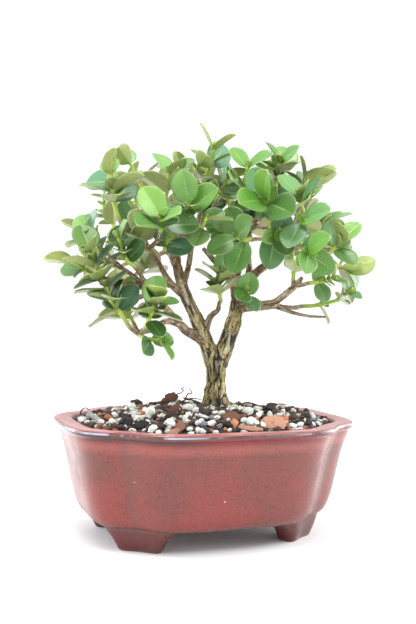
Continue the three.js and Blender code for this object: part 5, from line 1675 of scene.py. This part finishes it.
# Square lights: place as the viewer faces it, width in metres, power and colour. All of them face the aim.
LIGHT_AIM = [0, 0, 120]
LIGHTS = [
    ["overhead", [-150, -250, 1300], 0.5, 13, (0.96, 0.98, 1)],
    ["window", [900, -500, 1100], 0.5, 7, (1, 0.985, 0.96)],
    ["sky", [-800, -700, 700], 0.35, 2.5, (0.86, 0.94, 1)],
    ["left_side", [-1000, 330, 200], 0.8, 10, (1, 0.99, 0.98)],
    ["right_side", [1000, 330, 200], 0.8, 11, (0.98, 0.98, 1)],
]
SURROUNDINGS = (0.98, 0.99, 1.0, 1)
SURROUNDINGS_STRENGTH = 1.13
FLOOR_CORNERS = [[-6000, -6000, 0], [6000, -6000, 0], [6000, 9000, 0], [-6000, 9000, 0]]


def place_camera():
    """The photograph's eye."""
    right = np.array([1, 0, 0])
    ahead = np.array([0, math.cos(EYE_PITCH), -math.sin(EYE_PITCH)])
    up = np.array([0, math.sin(EYE_PITCH), math.cos(EYE_PITCH)])
    level = right * math.cos(EYE_ROLL) + up * math.sin(EYE_ROLL)
    upright = up * math.cos(EYE_ROLL) - right * math.sin(EYE_ROLL)
    data = bpy.data.cameras.new("eye")
    data.sensor_width, data.lens = EYE_SENSOR, EYE_LENS
    data.clip_start, data.clip_end = 0.01, 100
    matrix = np.eye(4)
    matrix[:3, :3] = turned(np.stack([level, upright, -ahead])).T
    matrix[:3, 3] = on_tree(EYE)
    eye = into_scene("eye", data)
    eye.matrix_world = Matrix(matrix.tolist())
    bpy.context.scene.camera = eye


def place_light(name, spot, width, power, colour):
    """A soft square light, turned to the aim."""
    data = bpy.data.lights.new(name, "AREA")
    data.size, data.energy, data.color = width, power, colour
    lamp = into_scene(name, data)
    lamp.location = Vector(on_tree(spot))
    aim = Vector(on_tree(LIGHT_AIM)) - lamp.location
    lamp.rotation_euler = aim.to_track_quat("-Z", "Y").to_euler()


def make_studio():
    """A plain white floor under soft light."""
    shell = Shell()
    shell.add(FLOOR_CORNERS, [[[0, 1, 2, 3]]])
    floor = into_scene("floor", shell.mesh("floor"))
    floor.data.materials.append(material("floor_white", floor_white, Roughness=0.9))
    world = bpy.data.worlds.new("studio")
    world.use_nodes = True
    ground = next(node for node in world.node_tree.nodes if node.type == "BACKGROUND")
    ground.inputs["Color"].default_value = SURROUNDINGS
    ground.inputs["Strength"].default_value = SURROUNDINGS_STRENGTH
    bpy.context.scene.world = world
    for light in LIGHTS:
        place_light(*light)
    bpy.context.scene.view_settings.view_transform = "Standard"


place_camera()
make_studio()
make_object()
